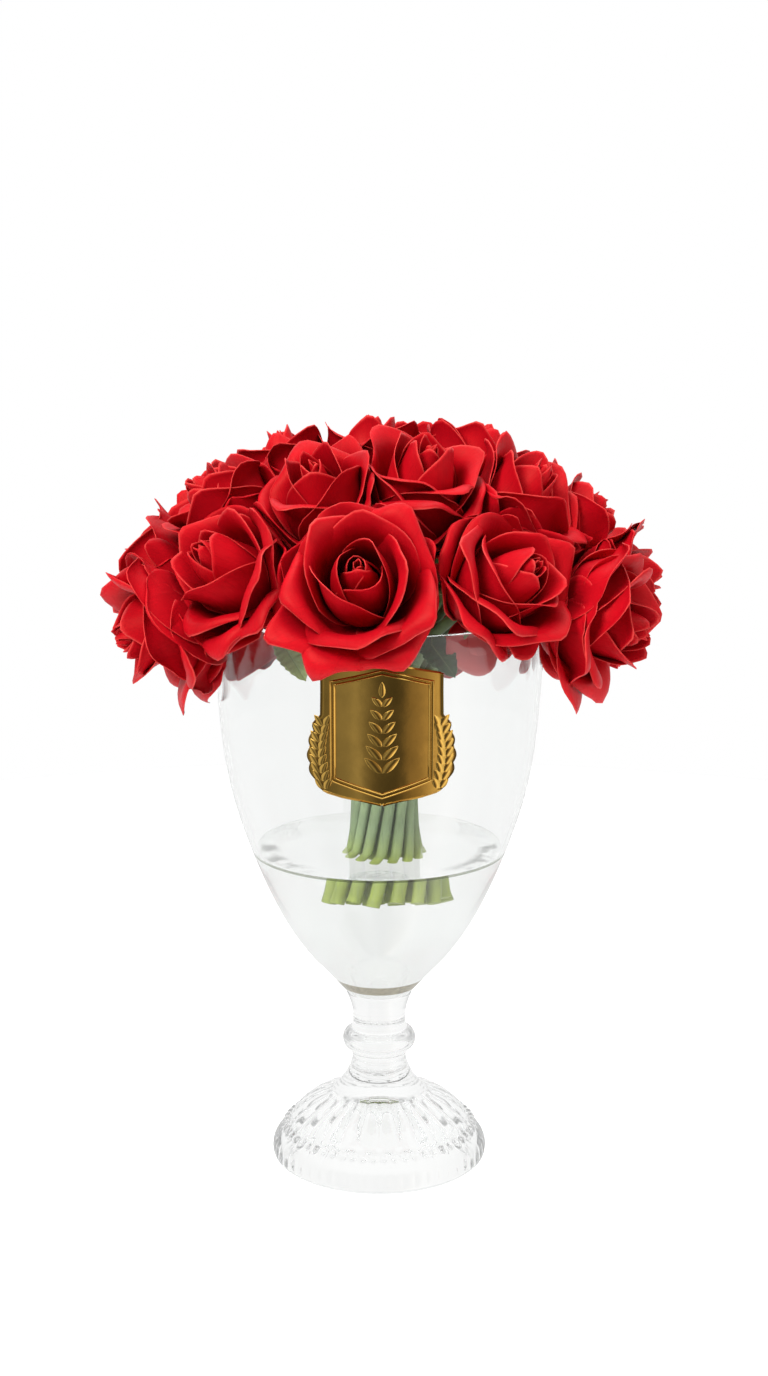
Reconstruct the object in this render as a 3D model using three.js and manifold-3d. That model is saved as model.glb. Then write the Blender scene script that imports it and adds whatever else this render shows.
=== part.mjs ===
// A bouquet of roses, set in clear resin in a footed glass vase with a brass plaque on its front.
// Millimetres, +Z up. The origin is the centre of the foot's underside, on the vase's axis.
// The front, with the plaque, faces -Y. An azimuth is in degrees from the front, positive towards +X.

import * as THREE from 'three';
import { mergeVertices } from 'three/addons/utils/BufferGeometryUtils.js';
import Module from 'manifold-3d';

const wasm = await Module();
wasm.setup();

// ---- Driving dimensions ------------------------------------------------------------------------

const GAP = 0.3; // clearance between pieces that touch

// Vase: radius and height along the outside, from the base upwards
const BOWL_OUTLINE = [
  [16.2, 86], [25.0, 96], [35.6, 108], [46.6, 125], [57.8, 149],
  [68.0, 178], [73.4, 203], [76.9, 240], [78.3, 274],
];
const BOWL_WALL = 2.4;
const BOWL_FLOOR = 85.6; // top of the glass at the bottom of the bowl
const SEAT_DEPTH = 3.2; // how far the bowl's round bottom sinks into the foot
const BOWL_SIDES = 36;
const BOWL_STEPS = 10; // rings up the bowl's side
const BOWL_FINE_STEPS = 80; // for reading its radius at a height
const RIM_CROWN = 0.6; // the rim is rounded up by this much
const FLOOR_CORNER = [11, 1.2]; // radius and rise where the floor turns up inside
const SIDE_FROM = 3.6; // the inside follows the outside from this far above the floor
const SEAT_RING = [10, 0.6]; // radius, and share of the seat's depth there

// Foot: radius and height down the outside, then up the hollow underside
const FOOT_NECK = [
  [16.2, 85.7], [14.0, 80], [12.9, 74], [12.9, 68], [16.2, 65.4], [17.8, 61],
  [16.2, 56.6], [13.2, 54.5], [13.2, 50.8], [16.6, 42.5], [22.6, 35],
];
const FOOT_DOME = [[31.5, 30.2], [38.8, 25.4], [43.2, 20.6], [45.6, 16.6]];
const FOOT_BRIM = [[47.4, 15.2], [50.6, 12.6], [52.4, 7], [51.4, 2.6], [49, 0]];
const FOOT_HOLLOW = [[44, 0], [42, 6], [36, 16], [24, 25], [10, 30], [0, 31]];
const FLUTES = 28;
const FLUTE_DEPTH = 1.1;
const FLUTES_FROM = 28; // radius: the neck inside it is plain

// Resin that looks like water
const RESIN_LEVEL = 158.5;
const RESIN_POCKET_RADIUS = 24;
const RESIN_POCKET_FLOOR = 141.8;
const RESIN_SIDES = 32;
const RESIN_EDGE = 4; // the last ring of its side is at least this far below the level
const WALL_SLANT = 1.15; // the slanted wall is this much thicker, measured level

// Bundle of stems: three rings, bound at the tie, pinched at the waist and flared at the cut ends
const STEM_RADIUS = 2.5;
const STEM_SIDES = 6;
const STEM_STEPS = 11;
const STEM_END = 144;
const STEM_END_SPREAD = 1.2; // the ends are cut a little unevenly
const STEM_END_PHASE = 2.4; // radians from one stem's unevenness to the next
const RING_RADII = [2.95, 8.15, 13.35];
const BUNDLE_MIDDLE = new THREE.Vector3(2.6, 0, 0); // the bundle stands a little to the right
const WAIST_HEIGHT = 184;
const BUNDLE_HEIGHTS = [157, 170, WAIST_HEIGHT, 195]; // where each stem follows the bundle
const END_FLARE = 0.35; // widening of the rings at the cut ends
const TIE_FLARE = 0.05; // and at the tie
const TIE_HEIGHT = 206;
const TIE_TALL = 6;
const TIE_THICK = 1.2;
const TIE_SIDES = 24;
const TWIST_PER_MM = 0.0117; // radians: the whole bundle is twisted
const BEND_RISE = 50; // how far a stem goes on upwards before it bends out
const BEND_REACH = 17; // how far behind the calyx it has turned to face as the flower does
const BEND_STEPS = 6;

// Dome of roses
const DOME_HEIGHT = 252; // height of the dome's centre
const DOME_RADIUS = 114;
const DOME_RISE = 104;
const HEAD_LENGTH = 45; // from the middle of the flower back to its calyx
const NOD_FROM = 62; // below this angle from the top the flowers nod outwards and down
const NOD_RATE = 1.3;
const TOUCHING = 80; // flowers whose middles are further apart don't meet
const LOWEST_PETAL = 150; // no flower reaches lower

// Each rose: azimuth, angle from the top of the dome, and reach as a share of the dome's radius.
// The rows follow the three rings of stems, from the middle outwards.
const INNER_ROSES = [[-32, 28, 1], [30, 23, 1.02], [190, 12, 1.01]];
const MIDDLE_ROSES = [
  [-150, 40, 1.04], [-120, 57, 1.07], [-118, 26, 1.03], [-84, 43, 1.04], [72, 39, 1.06],
  [98, 54, 1.1], [112, 27, 1.06], [130, 58, 1.08], [160, 38, 1.06],
];
const OUTER_ROSES = [
  [-71, 82, 1.05], [-52, 57, 1], [-5, 58, 1.03], [42, 60, 1], [66, 80, 1.11],
  [90, 71, 1.14], [117, 80, 1.1], [147, 82, 1.05], [169, 60, 1], [187, 80, 0.94],
  [210, 64, 1.02], [222, 84, 1.06], [248, 82, 1.08], [265, 69, 1.08],
];

// Outline of a rose's outer petals: radius, and height from the middle of the flower
const HEAD_OUTLINE = [[0, -44], [6, -44], [22, -32], [33.5, -14], [36.5, -1], [27, 6], [0, 7]];
const HEAD_SIDES = 12;

// Plaque: half width and height of its outline, from the bottom point upwards
const PLAQUE_OUTLINE = [
  [1.5, 198], [10, 200], [19, 201.4], [27, 203.8], [32.6, 210], [34.6, 220],
  [32.2, 233], [28, 239.6], [27.8, 257.7], [14, 260.6], [1.5, 263],
];
const PLAQUE_AZIMUTH = 1.1;
const PLAQUE_THICK = 0.9;
const PLAQUE_COLUMNS = 12;

// Leaves among the stems: where each starts, which way it points, which way it faces, and its size
const LEAVES = [
  {
    name: 'leaf_right', base: [20, -46, 270], along: [0.45, -0.6, -0.45], face: [0, -0.75, 0.65],
    long: 25, wide: 14,
  },
  {
    name: 'leaf_left', base: [-46, -42, 270], along: [0.45, -0.5, -0.62], face: [-0.2, -0.8, 0.6],
    long: 25, wide: 12,
  },
  {
    name: 'leaf_back', base: [10, 52, 270], along: [0.35, 0.6, -0.75], face: [0, 0.8, 0.6],
    long: 30, wide: 16,
  },
];
const LEAF_THICK = 0.8;
const STALK_HALF_WIDTH = 0.8;
const STALK_SHARE = 0.12; // of the leaf's length
const BELLY_SHARE = 0.45; // where the leaf is widest
const LEAF_CURVE_STEPS = 6;

// ---- Materials ---------------------------------------------------------------------------------

const material = (color, roughness, metalness, opacity = 1) => new THREE.MeshStandardMaterial({
  color, roughness, metalness, opacity, transparent: opacity < 1,
});
const clearGlass = material(0xf2f6f4, 0.03, 0, 0.3);
const clearResin = material(0xf4f6f5, 0.05, 0, 0.3);
const roseRed = material(0xb80d18, 0.5, 0);
const stemGreen = material(0x86a06c, 0.55, 0);
const leafGreen = material(0x4c6b40, 0.5, 0);
const tieGreen = material(0x3f5a34, 0.7, 0);
const polishedBrass = material(0xc9a03a, 0.2, 1);

// ---- Helpers -----------------------------------------------------------------------------------

const bouquet = new THREE.Group();

function add(name, geometry, finish) {
  const mesh = new THREE.Mesh(geometry, finish);
  mesh.name = name;
  bouquet.add(mesh);
}

// Turns an azimuth, a radius and a height into a point.
function place(azimuth, radius, height) {
  const angle = THREE.MathUtils.degToRad(azimuth);
  return new THREE.Vector3(radius * Math.sin(angle), -radius * Math.cos(angle), height);
}

// Keeps only positions and joins the vertices that meet.
function merged(geometry) {
  geometry.deleteAttribute('normal');
  geometry.deleteAttribute('uv');
  return mergeVertices(geometry, 1e-3);
}

// Revolves a list of [radius, height] about the vase's axis, bottom first.
function revolve(outline, sides) {
  const points = outline.map(([radius, height]) => new THREE.Vector2(radius, height));
  return merged(new THREE.LatheGeometry(points, sides).rotateX(Math.PI / 2));
}

function toManifold(geometry) {
  return new wasm.Manifold(new wasm.Mesh({
    numProp: 3,
    vertProperties: new Float32Array(geometry.attributes.position.array),
    triVerts: new Uint32Array(geometry.index.array),
  }));
}

function fromManifold(solid) {
  const mesh = solid.getMesh();
  const geometry = new THREE.BufferGeometry();
  geometry.setAttribute('position', new THREE.BufferAttribute(mesh.vertProperties, 3));
  geometry.setIndex(new THREE.BufferAttribute(mesh.triVerts, 1));
  return geometry;
}

// Evenly spaced azimuths for one ring of stems, turned to suit the roses above them.
function ringSlots(roses) {
  const step = 360 / roses.length;
  const turn = roses.reduce((sum, [azimuth], i) => sum + azimuth - i * step, 0) / roses.length;
  return roses.map((_, i) => turn + i * step);
}

// ---- Vase --------------------------------------------------------------------------------------

const bowlCurve = new THREE.SplineCurve(BOWL_OUTLINE.map(([r, z]) => new THREE.Vector2(r, z)));
const bowlOutside = bowlCurve.getPoints(BOWL_STEPS).map((p) => [p.x, p.y]);

// Radius of the bowl's outside at a height.
function bowlRadiusAt(height) {
  const fine = bowlCurve.getPoints(BOWL_FINE_STEPS);
  const above = fine.findIndex((p) => p.y >= height);
  const [low, high] = [fine[above - 1], fine[above]];
  return THREE.MathUtils.mapLinear(height, low.y, high.y, low.x, high.x);
}

// Outside of the bowl moved in by an amount square to its slope, where it is above the floor.
function bowlInset(amount) {
  const points = [];
  for (let i = 0; i <= BOWL_STEPS; i += 1) {
    const point = bowlCurve.getPoint(i / BOWL_STEPS);
    const slope = bowlCurve.getTangent(i / BOWL_STEPS);
    const inset = [point.x - slope.y * amount, point.y + slope.x * amount];
    if (inset[1] > BOWL_FLOOR + SIDE_FROM) points.push(inset);
  }
  return points;
}

// The rounded seat between bowl and foot, from the axis outwards.
function seatOutline(edgeHeight) {
  const [radius, share] = SEAT_RING;
  return [[0, edgeHeight - SEAT_DEPTH], [radius, edgeHeight - SEAT_DEPTH * share]];
}

function vaseBowl() {
  const inside = bowlInset(BOWL_WALL);
  const [innerRim] = inside.splice(-1);
  const [outerRim] = bowlOutside.slice(-1);
  const rimCrown = [(innerRim[0] + outerRim[0]) / 2, outerRim[1] + RIM_CROWN];
  return revolve([
    ...seatOutline(BOWL_OUTLINE[0][1]), ...bowlOutside,
    rimCrown, [innerRim[0], outerRim[1]], ...inside.reverse(),
    [FLOOR_CORNER[0], BOWL_FLOOR + FLOOR_CORNER[1]], [0, BOWL_FLOOR],
  ], BOWL_SIDES);
}

// The foot's dome is fluted: every second line of its surface stands in a little.
function vaseFoot() {
  const outline = [
    ...seatOutline(FOOT_NECK[0][1]), ...FOOT_NECK, ...FOOT_DOME, ...FOOT_BRIM, ...FOOT_HOLLOW,
  ].reverse();
  const geometry = revolve(outline, FLUTES * 2);
  const position = geometry.attributes.position;
  const [domeTop, domeBottom] = [FOOT_DOME[0][1] + GAP, FOOT_DOME.at(-1)[1] - GAP];
  for (let i = 0; i < position.count; i += 1) {
    const [x, y, z] = [position.getX(i), position.getY(i), position.getZ(i)];
    const radius = Math.hypot(x, y);
    const onDome = radius > FLUTES_FROM && z < domeTop && z > domeBottom;
    const line = Math.round((Math.atan2(y, x) / Math.PI) * FLUTES);
    if (onDome && line % 2 !== 0) {
      const share = (radius - FLUTE_DEPTH) / radius;
      position.setXYZ(i, x * share, y * share, z - FLUTE_DEPTH * 0.5);
    }
  }
  return geometry;
}

// The resin fills the bowl to its level, around a pocket for the bundle of stems.
function resinFill() {
  const inset = BOWL_WALL + GAP;
  const side = bowlInset(inset).filter(([, height]) => height < RESIN_LEVEL - RESIN_EDGE);
  const topRadius = bowlRadiusAt(RESIN_LEVEL) - inset * WALL_SLANT;
  return revolve([
    [0, BOWL_FLOOR + GAP], [FLOOR_CORNER[0] - GAP, BOWL_FLOOR + FLOOR_CORNER[1] + GAP],
    ...side, [topRadius, RESIN_LEVEL],
    [RESIN_POCKET_RADIUS, RESIN_LEVEL], [RESIN_POCKET_RADIUS, RESIN_POCKET_FLOOR],
    [0, RESIN_POCKET_FLOOR],
  ], RESIN_SIDES);
}

// ---- Plaque ------------------------------------------------------------------------------------

// A sheet bent round the bowl: a back and a front layer of rows, closed along their edges.
function plaque() {
  const positions = [];
  const index = [];
  const rowLength = PLAQUE_COLUMNS + 1;
  const layerSize = PLAQUE_OUTLINE.length * rowLength;
  for (const proud of [GAP, GAP + PLAQUE_THICK]) {
    for (const [halfWidth, height] of PLAQUE_OUTLINE) {
      const radius = bowlRadiusAt(height) + proud;
      for (let column = 0; column < rowLength; column += 1) {
        const arc = halfWidth * ((2 * column) / PLAQUE_COLUMNS - 1);
        const azimuth = PLAQUE_AZIMUTH + THREE.MathUtils.radToDeg(arc / radius);
        positions.push(...place(azimuth, radius, height).toArray());
      }
    }
  }
  const quad = (a, b, c, d) => index.push(a, b, c, a, c, d);
  const at = (layer, row, column) => layer * layerSize + row * rowLength + column;
  const lastRow = PLAQUE_OUTLINE.length - 1;
  for (let row = 0; row < lastRow; row += 1) {
    for (let column = 0; column < PLAQUE_COLUMNS; column += 1) {
      quad(at(1, row, column), at(1, row, column + 1), at(1, row + 1, column + 1), at(1, row + 1, column));
      quad(at(0, row, column), at(0, row + 1, column), at(0, row + 1, column + 1), at(0, row, column + 1));
    }
    quad(at(0, row, 0), at(1, row, 0), at(1, row + 1, 0), at(0, row + 1, 0));
    quad(
      at(1, row, PLAQUE_COLUMNS), at(0, row, PLAQUE_COLUMNS),
      at(0, row + 1, PLAQUE_COLUMNS), at(1, row + 1, PLAQUE_COLUMNS),
    );
  }
  for (let column = 0; column < PLAQUE_COLUMNS; column += 1) {
    quad(at(0, 0, column), at(0, 0, column + 1), at(1, 0, column + 1), at(1, 0, column));
    quad(
      at(1, lastRow, column), at(1, lastRow, column + 1),
      at(0, lastRow, column + 1), at(0, lastRow, column),
    );
  }
  const geometry = new THREE.BufferGeometry();
  geometry.setAttribute('position', new THREE.Float32BufferAttribute(positions, 3));
  geometry.setIndex(index);
  return geometry;
}

// ---- Roses -------------------------------------------------------------------------------------

// Where a rose's middle is, and the way it faces.
function rosePose([azimuth, fromTop, reach]) {
  const angle = THREE.MathUtils.degToRad(fromTop);
  const middle = place(
    azimuth, DOME_RADIUS * reach * Math.sin(angle), DOME_HEIGHT + DOME_RISE * reach * Math.cos(angle),
  );
  const nod = fromTop + NOD_RATE * Math.max(0, fromTop - NOD_FROM);
  const tilt = THREE.MathUtils.degToRad(nod);
  const facing = place(azimuth, Math.sin(tilt), Math.cos(tilt));
  return { middle, facing };
}

const rings = [INNER_ROSES, MIDDLE_ROSES, OUTER_ROSES];
const roses = rings.flatMap((ring, ringIndex) => {
  const slots = ringSlots(ring);
  return ring.map((row, i) => ({ ...rosePose(row), ringRadius: RING_RADII[ringIndex], slot: slots[i] }));
});

const UP = new THREE.Vector3(0, 0, 1);

function headBlank({ middle, facing }) {
  const turn = new THREE.Quaternion().setFromUnitVectors(UP, facing);
  const blank = revolve(HEAD_OUTLINE, HEAD_SIDES);
  blank.applyMatrix4(new THREE.Matrix4().compose(middle, turn, new THREE.Vector3(1, 1, 1)));
  return toManifold(blank);
}

// Everything inside the bowl's outer surface, up to just above its rim.
const overRim = BOWL_OUTLINE.at(-1)[1] + RIM_CROWN + GAP;
const bowlEnvelope = toManifold(revolve([
  [0, LOWEST_PETAL],
  ...bowlOutside.filter(([, height]) => height > LOWEST_PETAL).map(([r, z]) => [r + 2 * GAP, z]),
  [BOWL_OUTLINE.at(-1)[0] + 2 * GAP, overRim], [0, overRim],
], BOWL_SIDES));

// A head's petals press against its neighbours', so each blank is cut halfway to the next flower,
// and they part round the stem of the flower below.
function roseHead(rose) {
  let head = headBlank(rose).subtract(bowlEnvelope);
  for (const other of roses) {
    if (other !== rose) head = head.subtract(other.stemClearance);
    const towards = rose.middle.clone().sub(other.middle);
    if (other !== rose && towards.length() < TOUCHING) {
      const halfway = rose.middle.clone().add(other.middle).multiplyScalar(0.5);
      towards.normalize();
      head = head.trimByPlane(towards.toArray(), towards.dot(halfway) + GAP / 2);
    }
  }
  return fromManifold(head);
}

// ---- Stems -------------------------------------------------------------------------------------

// Place of a stem in the twisted bundle at a height.
function bundlePoint(rose, height) {
  const below = Math.max(0, WAIST_HEIGHT - height) / (WAIST_HEIGHT - STEM_END);
  const above = Math.max(0, height - WAIST_HEIGHT) / (TIE_HEIGHT - WAIST_HEIGHT);
  const spread = 1 + END_FLARE * below ** 1.5 + TIE_FLARE * above ** 2;
  const twist = THREE.MathUtils.radToDeg(TWIST_PER_MM * (height - TIE_HEIGHT));
  return place(rose.slot + twist, rose.ringRadius * spread, height).add(BUNDLE_MIDDLE);
}

// A stem runs up the bundle from its cut end, and bends out to the calyx above the tie.
function stemPath(rose, i) {
  const end = STEM_END + STEM_END_SPREAD * Math.sin(STEM_END_PHASE * i);
  const bundled = [end, ...BUNDLE_HEIGHTS].map((height) => bundlePoint(rose, height));
  const bound = bundlePoint(rose, TIE_HEIGHT);
  const calyx = rose.middle.clone().addScaledVector(rose.facing, -HEAD_LENGTH);
  const bend = new THREE.CubicBezierCurve3(
    bound, bound.clone().addScaledVector(UP, BEND_RISE),
    calyx.clone().addScaledVector(rose.facing, -BEND_REACH), calyx,
  );
  return new THREE.CatmullRomCurve3([...bundled, ...bend.getPoints(BEND_STEPS)]);
}

function roseStem(rose, i, radius = STEM_RADIUS) {
  const section = new THREE.Shape(Array.from({ length: STEM_SIDES }, (_, side) => {
    const angle = (2 * Math.PI * side) / STEM_SIDES;
    return new THREE.Vector2(radius * Math.cos(angle), radius * Math.sin(angle));
  }));
  return merged(new THREE.ExtrudeGeometry(section, {
    steps: STEM_STEPS, extrudePath: stemPath(rose, i), bevelEnabled: false,
  }));
}

// A binding wound round the bundle, where the plaque hides it from the front.
function stemTie() {
  const inner = RING_RADII[2] * (1 + TIE_FLARE) + STEM_RADIUS + 2 * GAP;
  const outer = inner + TIE_THICK;
  const [low, high] = [TIE_HEIGHT - TIE_TALL / 2, TIE_HEIGHT + TIE_TALL / 2];
  const section = [[inner, low], [outer, low], [outer, high], [inner, high], [inner, low]];
  return revolve(section, TIE_SIDES).translate(...BUNDLE_MIDDLE.toArray());
}

// ---- Leaves ------------------------------------------------------------------------------------

function leaf({ base, along, face, long, wide }) {
  const [stalk, belly] = [long * STALK_SHARE, long * BELLY_SHARE];
  const outline = new THREE.Shape();
  outline.moveTo(0, -STALK_HALF_WIDTH);
  outline.lineTo(stalk, -STALK_HALF_WIDTH);
  outline.quadraticCurveTo(belly, -wide, long, 0);
  outline.quadraticCurveTo(belly, wide, stalk, STALK_HALF_WIDTH);
  outline.lineTo(0, STALK_HALF_WIDTH);
  outline.closePath();
  const geometry = merged(new THREE.ExtrudeGeometry(outline, {
    depth: LEAF_THICK, bevelEnabled: false, curveSegments: LEAF_CURVE_STEPS,
  }));
  const x = new THREE.Vector3(...along).normalize();
  const y = new THREE.Vector3(...face).cross(x).normalize();
  const z = x.clone().cross(y);
  const pose = new THREE.Matrix4().makeBasis(x, y, z).setPosition(...base);
  return geometry.applyMatrix4(pose);
}

// ---- The assembly ------------------------------------------------------------------------------

add('vase_bowl', vaseBowl(), clearGlass);
add('vase_foot', vaseFoot(), clearGlass);
add('resin_water', resinFill(), clearResin);
add('brass_plaque', plaque(), polishedBrass);
add('stem_tie', stemTie(), tieGreen);
roses.forEach((rose, i) => {
  rose.stemClearance = toManifold(roseStem(rose, i, STEM_RADIUS + 2 * GAP));
});
roses.forEach((rose, i) => {
  const number = String(i + 1).padStart(2, '0');
  add(`rose_head_${number}`, roseHead(rose), roseRed);
  add(`rose_stem_${number}`, roseStem(rose, i), stemGreen);
});
LEAVES.forEach((row) => add(row.name, leaf(row), leafGreen));

export default bouquet;
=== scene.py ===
import math

import bpy
import numpy as np
from bpy.props import FloatProperty, FloatVectorProperty, IntProperty, PointerProperty
from bpy.types import Operator, Panel, PropertyGroup
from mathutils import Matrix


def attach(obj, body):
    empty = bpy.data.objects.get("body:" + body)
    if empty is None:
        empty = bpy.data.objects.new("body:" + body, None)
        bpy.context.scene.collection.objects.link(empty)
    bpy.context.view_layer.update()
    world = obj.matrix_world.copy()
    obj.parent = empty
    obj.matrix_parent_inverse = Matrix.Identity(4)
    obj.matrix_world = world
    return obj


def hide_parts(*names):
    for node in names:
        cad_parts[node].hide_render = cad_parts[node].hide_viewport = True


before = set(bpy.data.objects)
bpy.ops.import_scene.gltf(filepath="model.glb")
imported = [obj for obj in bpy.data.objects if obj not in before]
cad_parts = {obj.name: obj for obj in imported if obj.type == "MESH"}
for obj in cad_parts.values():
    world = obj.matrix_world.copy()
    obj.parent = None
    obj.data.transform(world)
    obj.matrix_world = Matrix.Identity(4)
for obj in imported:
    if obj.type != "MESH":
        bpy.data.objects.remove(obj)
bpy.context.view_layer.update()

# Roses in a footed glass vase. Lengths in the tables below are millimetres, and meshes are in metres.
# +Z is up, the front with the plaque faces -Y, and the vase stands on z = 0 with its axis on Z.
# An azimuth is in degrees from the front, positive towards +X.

bl_info = {
    "name": "Roses in a Glass Vase",
    "version": (1, 0, 0),
    "blender": (4, 5, 0),
    "location": "3D View > Sidebar > Roses",
    "description": "Models a dome of roses in a footed glass vase, piece by piece",
    "category": "Add Mesh",
}

MM = 0.001
BODY = "root"

# ---- Shapes: the vase, as (radius, height) -------------------------------------------------------

RIM_HEIGHT = 274.0
BOWL_OUTLINE = [
    (16.2, 86.0), (25.0, 96.0), (35.6, 108.0), (46.6, 125.0), (57.8, 149.0),
    (68.0, 178.0), (73.4, 203.0), (76.9, 240.0), (78.3, RIM_HEIGHT),
]
BOWL_RINGS = 56
BOWL_FLOOR = 85.6
# The underside of the bowl, which sits on the foot, and its inner floor up to the inner wall
BOWL_SEAT = [(0.0, 82.8), (5.0, 83.1), (10.0, 84.0), (14.0, 85.2)]
FLOOR_CURVE = [(14.2, 88.4), (11.2, 86.9), (8.0, 86.2), (4.0, 85.75)]
RIM_STEPS = 7

FOOT_TOP = [(0.0, 82.5), (5.0, 82.8), (10.0, 83.7), (14.2, 85.0), (16.2, 85.7)]
FOOT_NECK = [
    (16.2, 85.7), (14.6, 81.4), (13.3, 77.0), (12.8, 72.0), (13.0, 68.2), (14.6, 66.2), (16.9, 64.2),
    (17.8, 61.0), (16.9, 57.8), (14.8, 55.8), (13.4, 53.8), (13.2, 50.8), (14.4, 46.6), (16.4, 42.5),
    (19.6, 38.0), (22.8, 34.8),
]
FOOT_DOME = [(22.8, 34.8), (26.8, 32.6), (33.0, 29.4), (39.0, 25.2), (43.0, 20.8), (44.6, 17.6)]
FOOT_BRIM = [
    (44.6, 17.6), (46.8, 15.6), (49.2, 13.4), (51.3, 10.6), (52.3, 7.6), (52.3, 4.6), (51.4, 2.0),
    (49.0, 0.2),
]
FOOT_UNDERSIDE = [
    (46.5, 0.0), (44.0, 0.6), (42.6, 6.0), (36.5, 15.5), (24.0, 24.5), (10.0, 29.6), (0.0, 31.0),
]
# Rings of the neck, the dome, the brim and the underside, and points on each flute
FOOT_STEPS = (30, 64, 26, 34)
FLUTE_POINTS = 16
# Radii where the flutes start, are full, fade and end, and how far they swell between their grooves
FLUTES_START, FLUTES_FULL, FLUTES_FADE, FLUTES_END = 19.5, 28.0, 42.6, 44.2
FLUTE_SWELL = 0.55
# Radius and height of the ring of beads, how far they stand out, and height of the ribs on the brim
BEAD_CENTRE = (45.7, 16.6)
BEAD_PROUD = 0.62
BRIM_RIBS_AT = 7.4

# How far the resin reaches into the glass
RESIN_OVERLAP = 0.5

# ---- Shapes: the roses, as in the model's frame --------------------------------------------------

# The middles of the heads lie on a dome. A head is this long from its calyx to its middle, and the
# lowest heads nod past the dome's own slope. Each rose is (azimuth, degrees from the top, share of
# the dome's radius).
DOME_HEIGHT = 252.0
DOME_RADIUS = 114.0
DOME_RISE = 104.0
HEAD_LENGTH = 45.0
NOD_FROM = 62.0
NOD_RATE = 1.3
INNER_ROSES = [(-32, 28, 1), (30, 23, 1.02), (190, 12, 1.01)]
MIDDLE_ROSES = [
    (-150, 40, 1.04), (-120, 57, 1.07), (-118, 26, 1.03), (-84, 43, 1.04), (72, 39, 1.06),
    (98, 54, 1.1), (112, 27, 1.06), (130, 58, 1.08), (160, 38, 1.06),
]
OUTER_ROSES = [
    (-71, 82, 1.05), (-52, 57, 1), (-5, 58, 1.03), (42, 60, 1), (66, 80, 1.11),
    (90, 71, 1.14), (117, 80, 1.1), (147, 82, 1.05), (169, 60, 1), (187, 80, 0.94),
    (210, 64, 1.02), (222, 84, 1.06), (248, 82, 1.08), (265, 69, 1.08),
]
# Roses this far from the top have hanging petals, in degrees
SKIRT_FROM = 68.0
# Roses whose middles are nearer than this press on each other: how soft the border is, how far
# apart they stay, and the share of the pressing that lifts the petals
TOUCHING = 84.0
BORDER_SOFT = 6.0
BORDER_GAP = 0.3
PRESSED_UP = 0.12

# One row for each whorl of petals, from the bud outwards: how many, the slope in degrees at five
# places along the petal (90 is upright, 0 is level and outwards), length, half width, radius at
# the base, how far round the flower it bends (1 follows the flower), how much its sides roll back,
# and how far its corners stand below its tip, as a share of its length. The last row has no petals
# of its own: the lowest petals of the lowest roses hang towards it.
WHORLS = [
    (3, (70, 86, 92, 96, 97), 46.5, 9.0, 1.2, 1.0, 0.0, 0.25),
    (3, (54, 74, 94, 101, 100), 48.5, 15.0, 1.8, 1.0, 0.05, 0.4),
    (3, (32, 64, 92, 104, 98), 51.0, 22.0, 2.4, 1.0, 0.15, 0.46),
    (4, (10, 58, 86, 92, 50), 53.0, 28.0, 2.8, 1.02, 0.7, 0.3),
    (5, (0, 46, 76, 74, -6), 53.5, 30.0, 3.4, 1.1, 1.0, 0.27),
    (6, (-8, 34, 62, 46, -46), 51.0, 30.0, 4.2, 1.25, 1.1, 0.27),
    (0, (-8, 22, 40, 30, 8), 57.0, 12.0, 4.2, 1.5, 0.9, 0.5),
]
SKIRT = len(WHORLS) - 1
# How much more the petals hang towards the back than over the front, and how far at the most
HANG_BACK = 0.45
HANG_MOST = 0.95
# Roses on the rim whose last petals hang inside the bowl, and how those petals are turned, in degrees
RIM_ROSES = {15: 62.0, 20: 0.0, 22: 0.0}
# The slopes and length of those petals, how many a rose has, and the angle between them
INSIDE_SLOPES = (-34, -24, -28, -36, -48)
INSIDE_LENGTH = 36.0
INSIDE_PETALS = 2
INSIDE_SPREAD = 40.0
# Angle from one petal to the next, the petals' base under the flower's middle, and faces along a side
GOLDEN_ANGLE = 137.508
PETAL_BASE = -42.0
PETAL_GRID = 18
# The corners roll back past a line from the flank to the tip, as shares of half width and length.
# The roll starts softly over some millimetres, and turns by no more than its limit, in radians.
ROLL_FLANK = (0.84, 0.36)
ROLL_TIP = (0.03, 1.0)
ROLL_START = 1.2
ROLL_LIMIT = 2.2
# How open the roses that the photo shows are, in whorls, and how they are turned, in degrees
POSED = {
    2: (0.2, 144.0), 3: (-0.1, 216.0), 4: (0.15, 24.0), 5: (-0.1, 216.0), 7: (-0.1, 12.0), 8: (-0.35, 0.0),
    9: (0.15, 24.0), 11: (-0.35, 120.0), 12: (-0.35, 192.0), 13: (-0.1, 100.0), 14: (0.1, 20.0),
    15: (-0.35, 200.0), 16: (-0.7, 192.0), 17: (-0.1, 240.0), 18: (-0.35, 12.0), 23: (0.15, 240.0),
    24: (-0.35, 204.0), 25: (0.15, 168.0),
}

# ---- Shapes: stems, leaves, tie and plaque -------------------------------------------------------

# The stems' cut ends are near one height and differ a little. The bundle is narrowest at its waist,
# is bound above it, and spreads towards both its ends. Above the binding, a stem bends to its flower.
STEM_END = 144.0
STEM_END_SPREAD = 1.2
STEM_END_PHASE = 2.4
RING_RADII = (2.95, 8.1, 13.3)
BUNDLE_MIDDLE = (2.6, 0.0, 0.0)
WAIST_HEIGHT = 184.0
TIE_HEIGHT = 206.0
END_FLARE = 0.35
TIE_FLARE = 0.05
BUNDLE_HEIGHTS = (150.0, 157.0, 165.0, 174.0, WAIST_HEIGHT, 195.0)
BEND_RISE = 50.0
BEND_REACH = 18.0
SEPAL_SEED = 400

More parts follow.
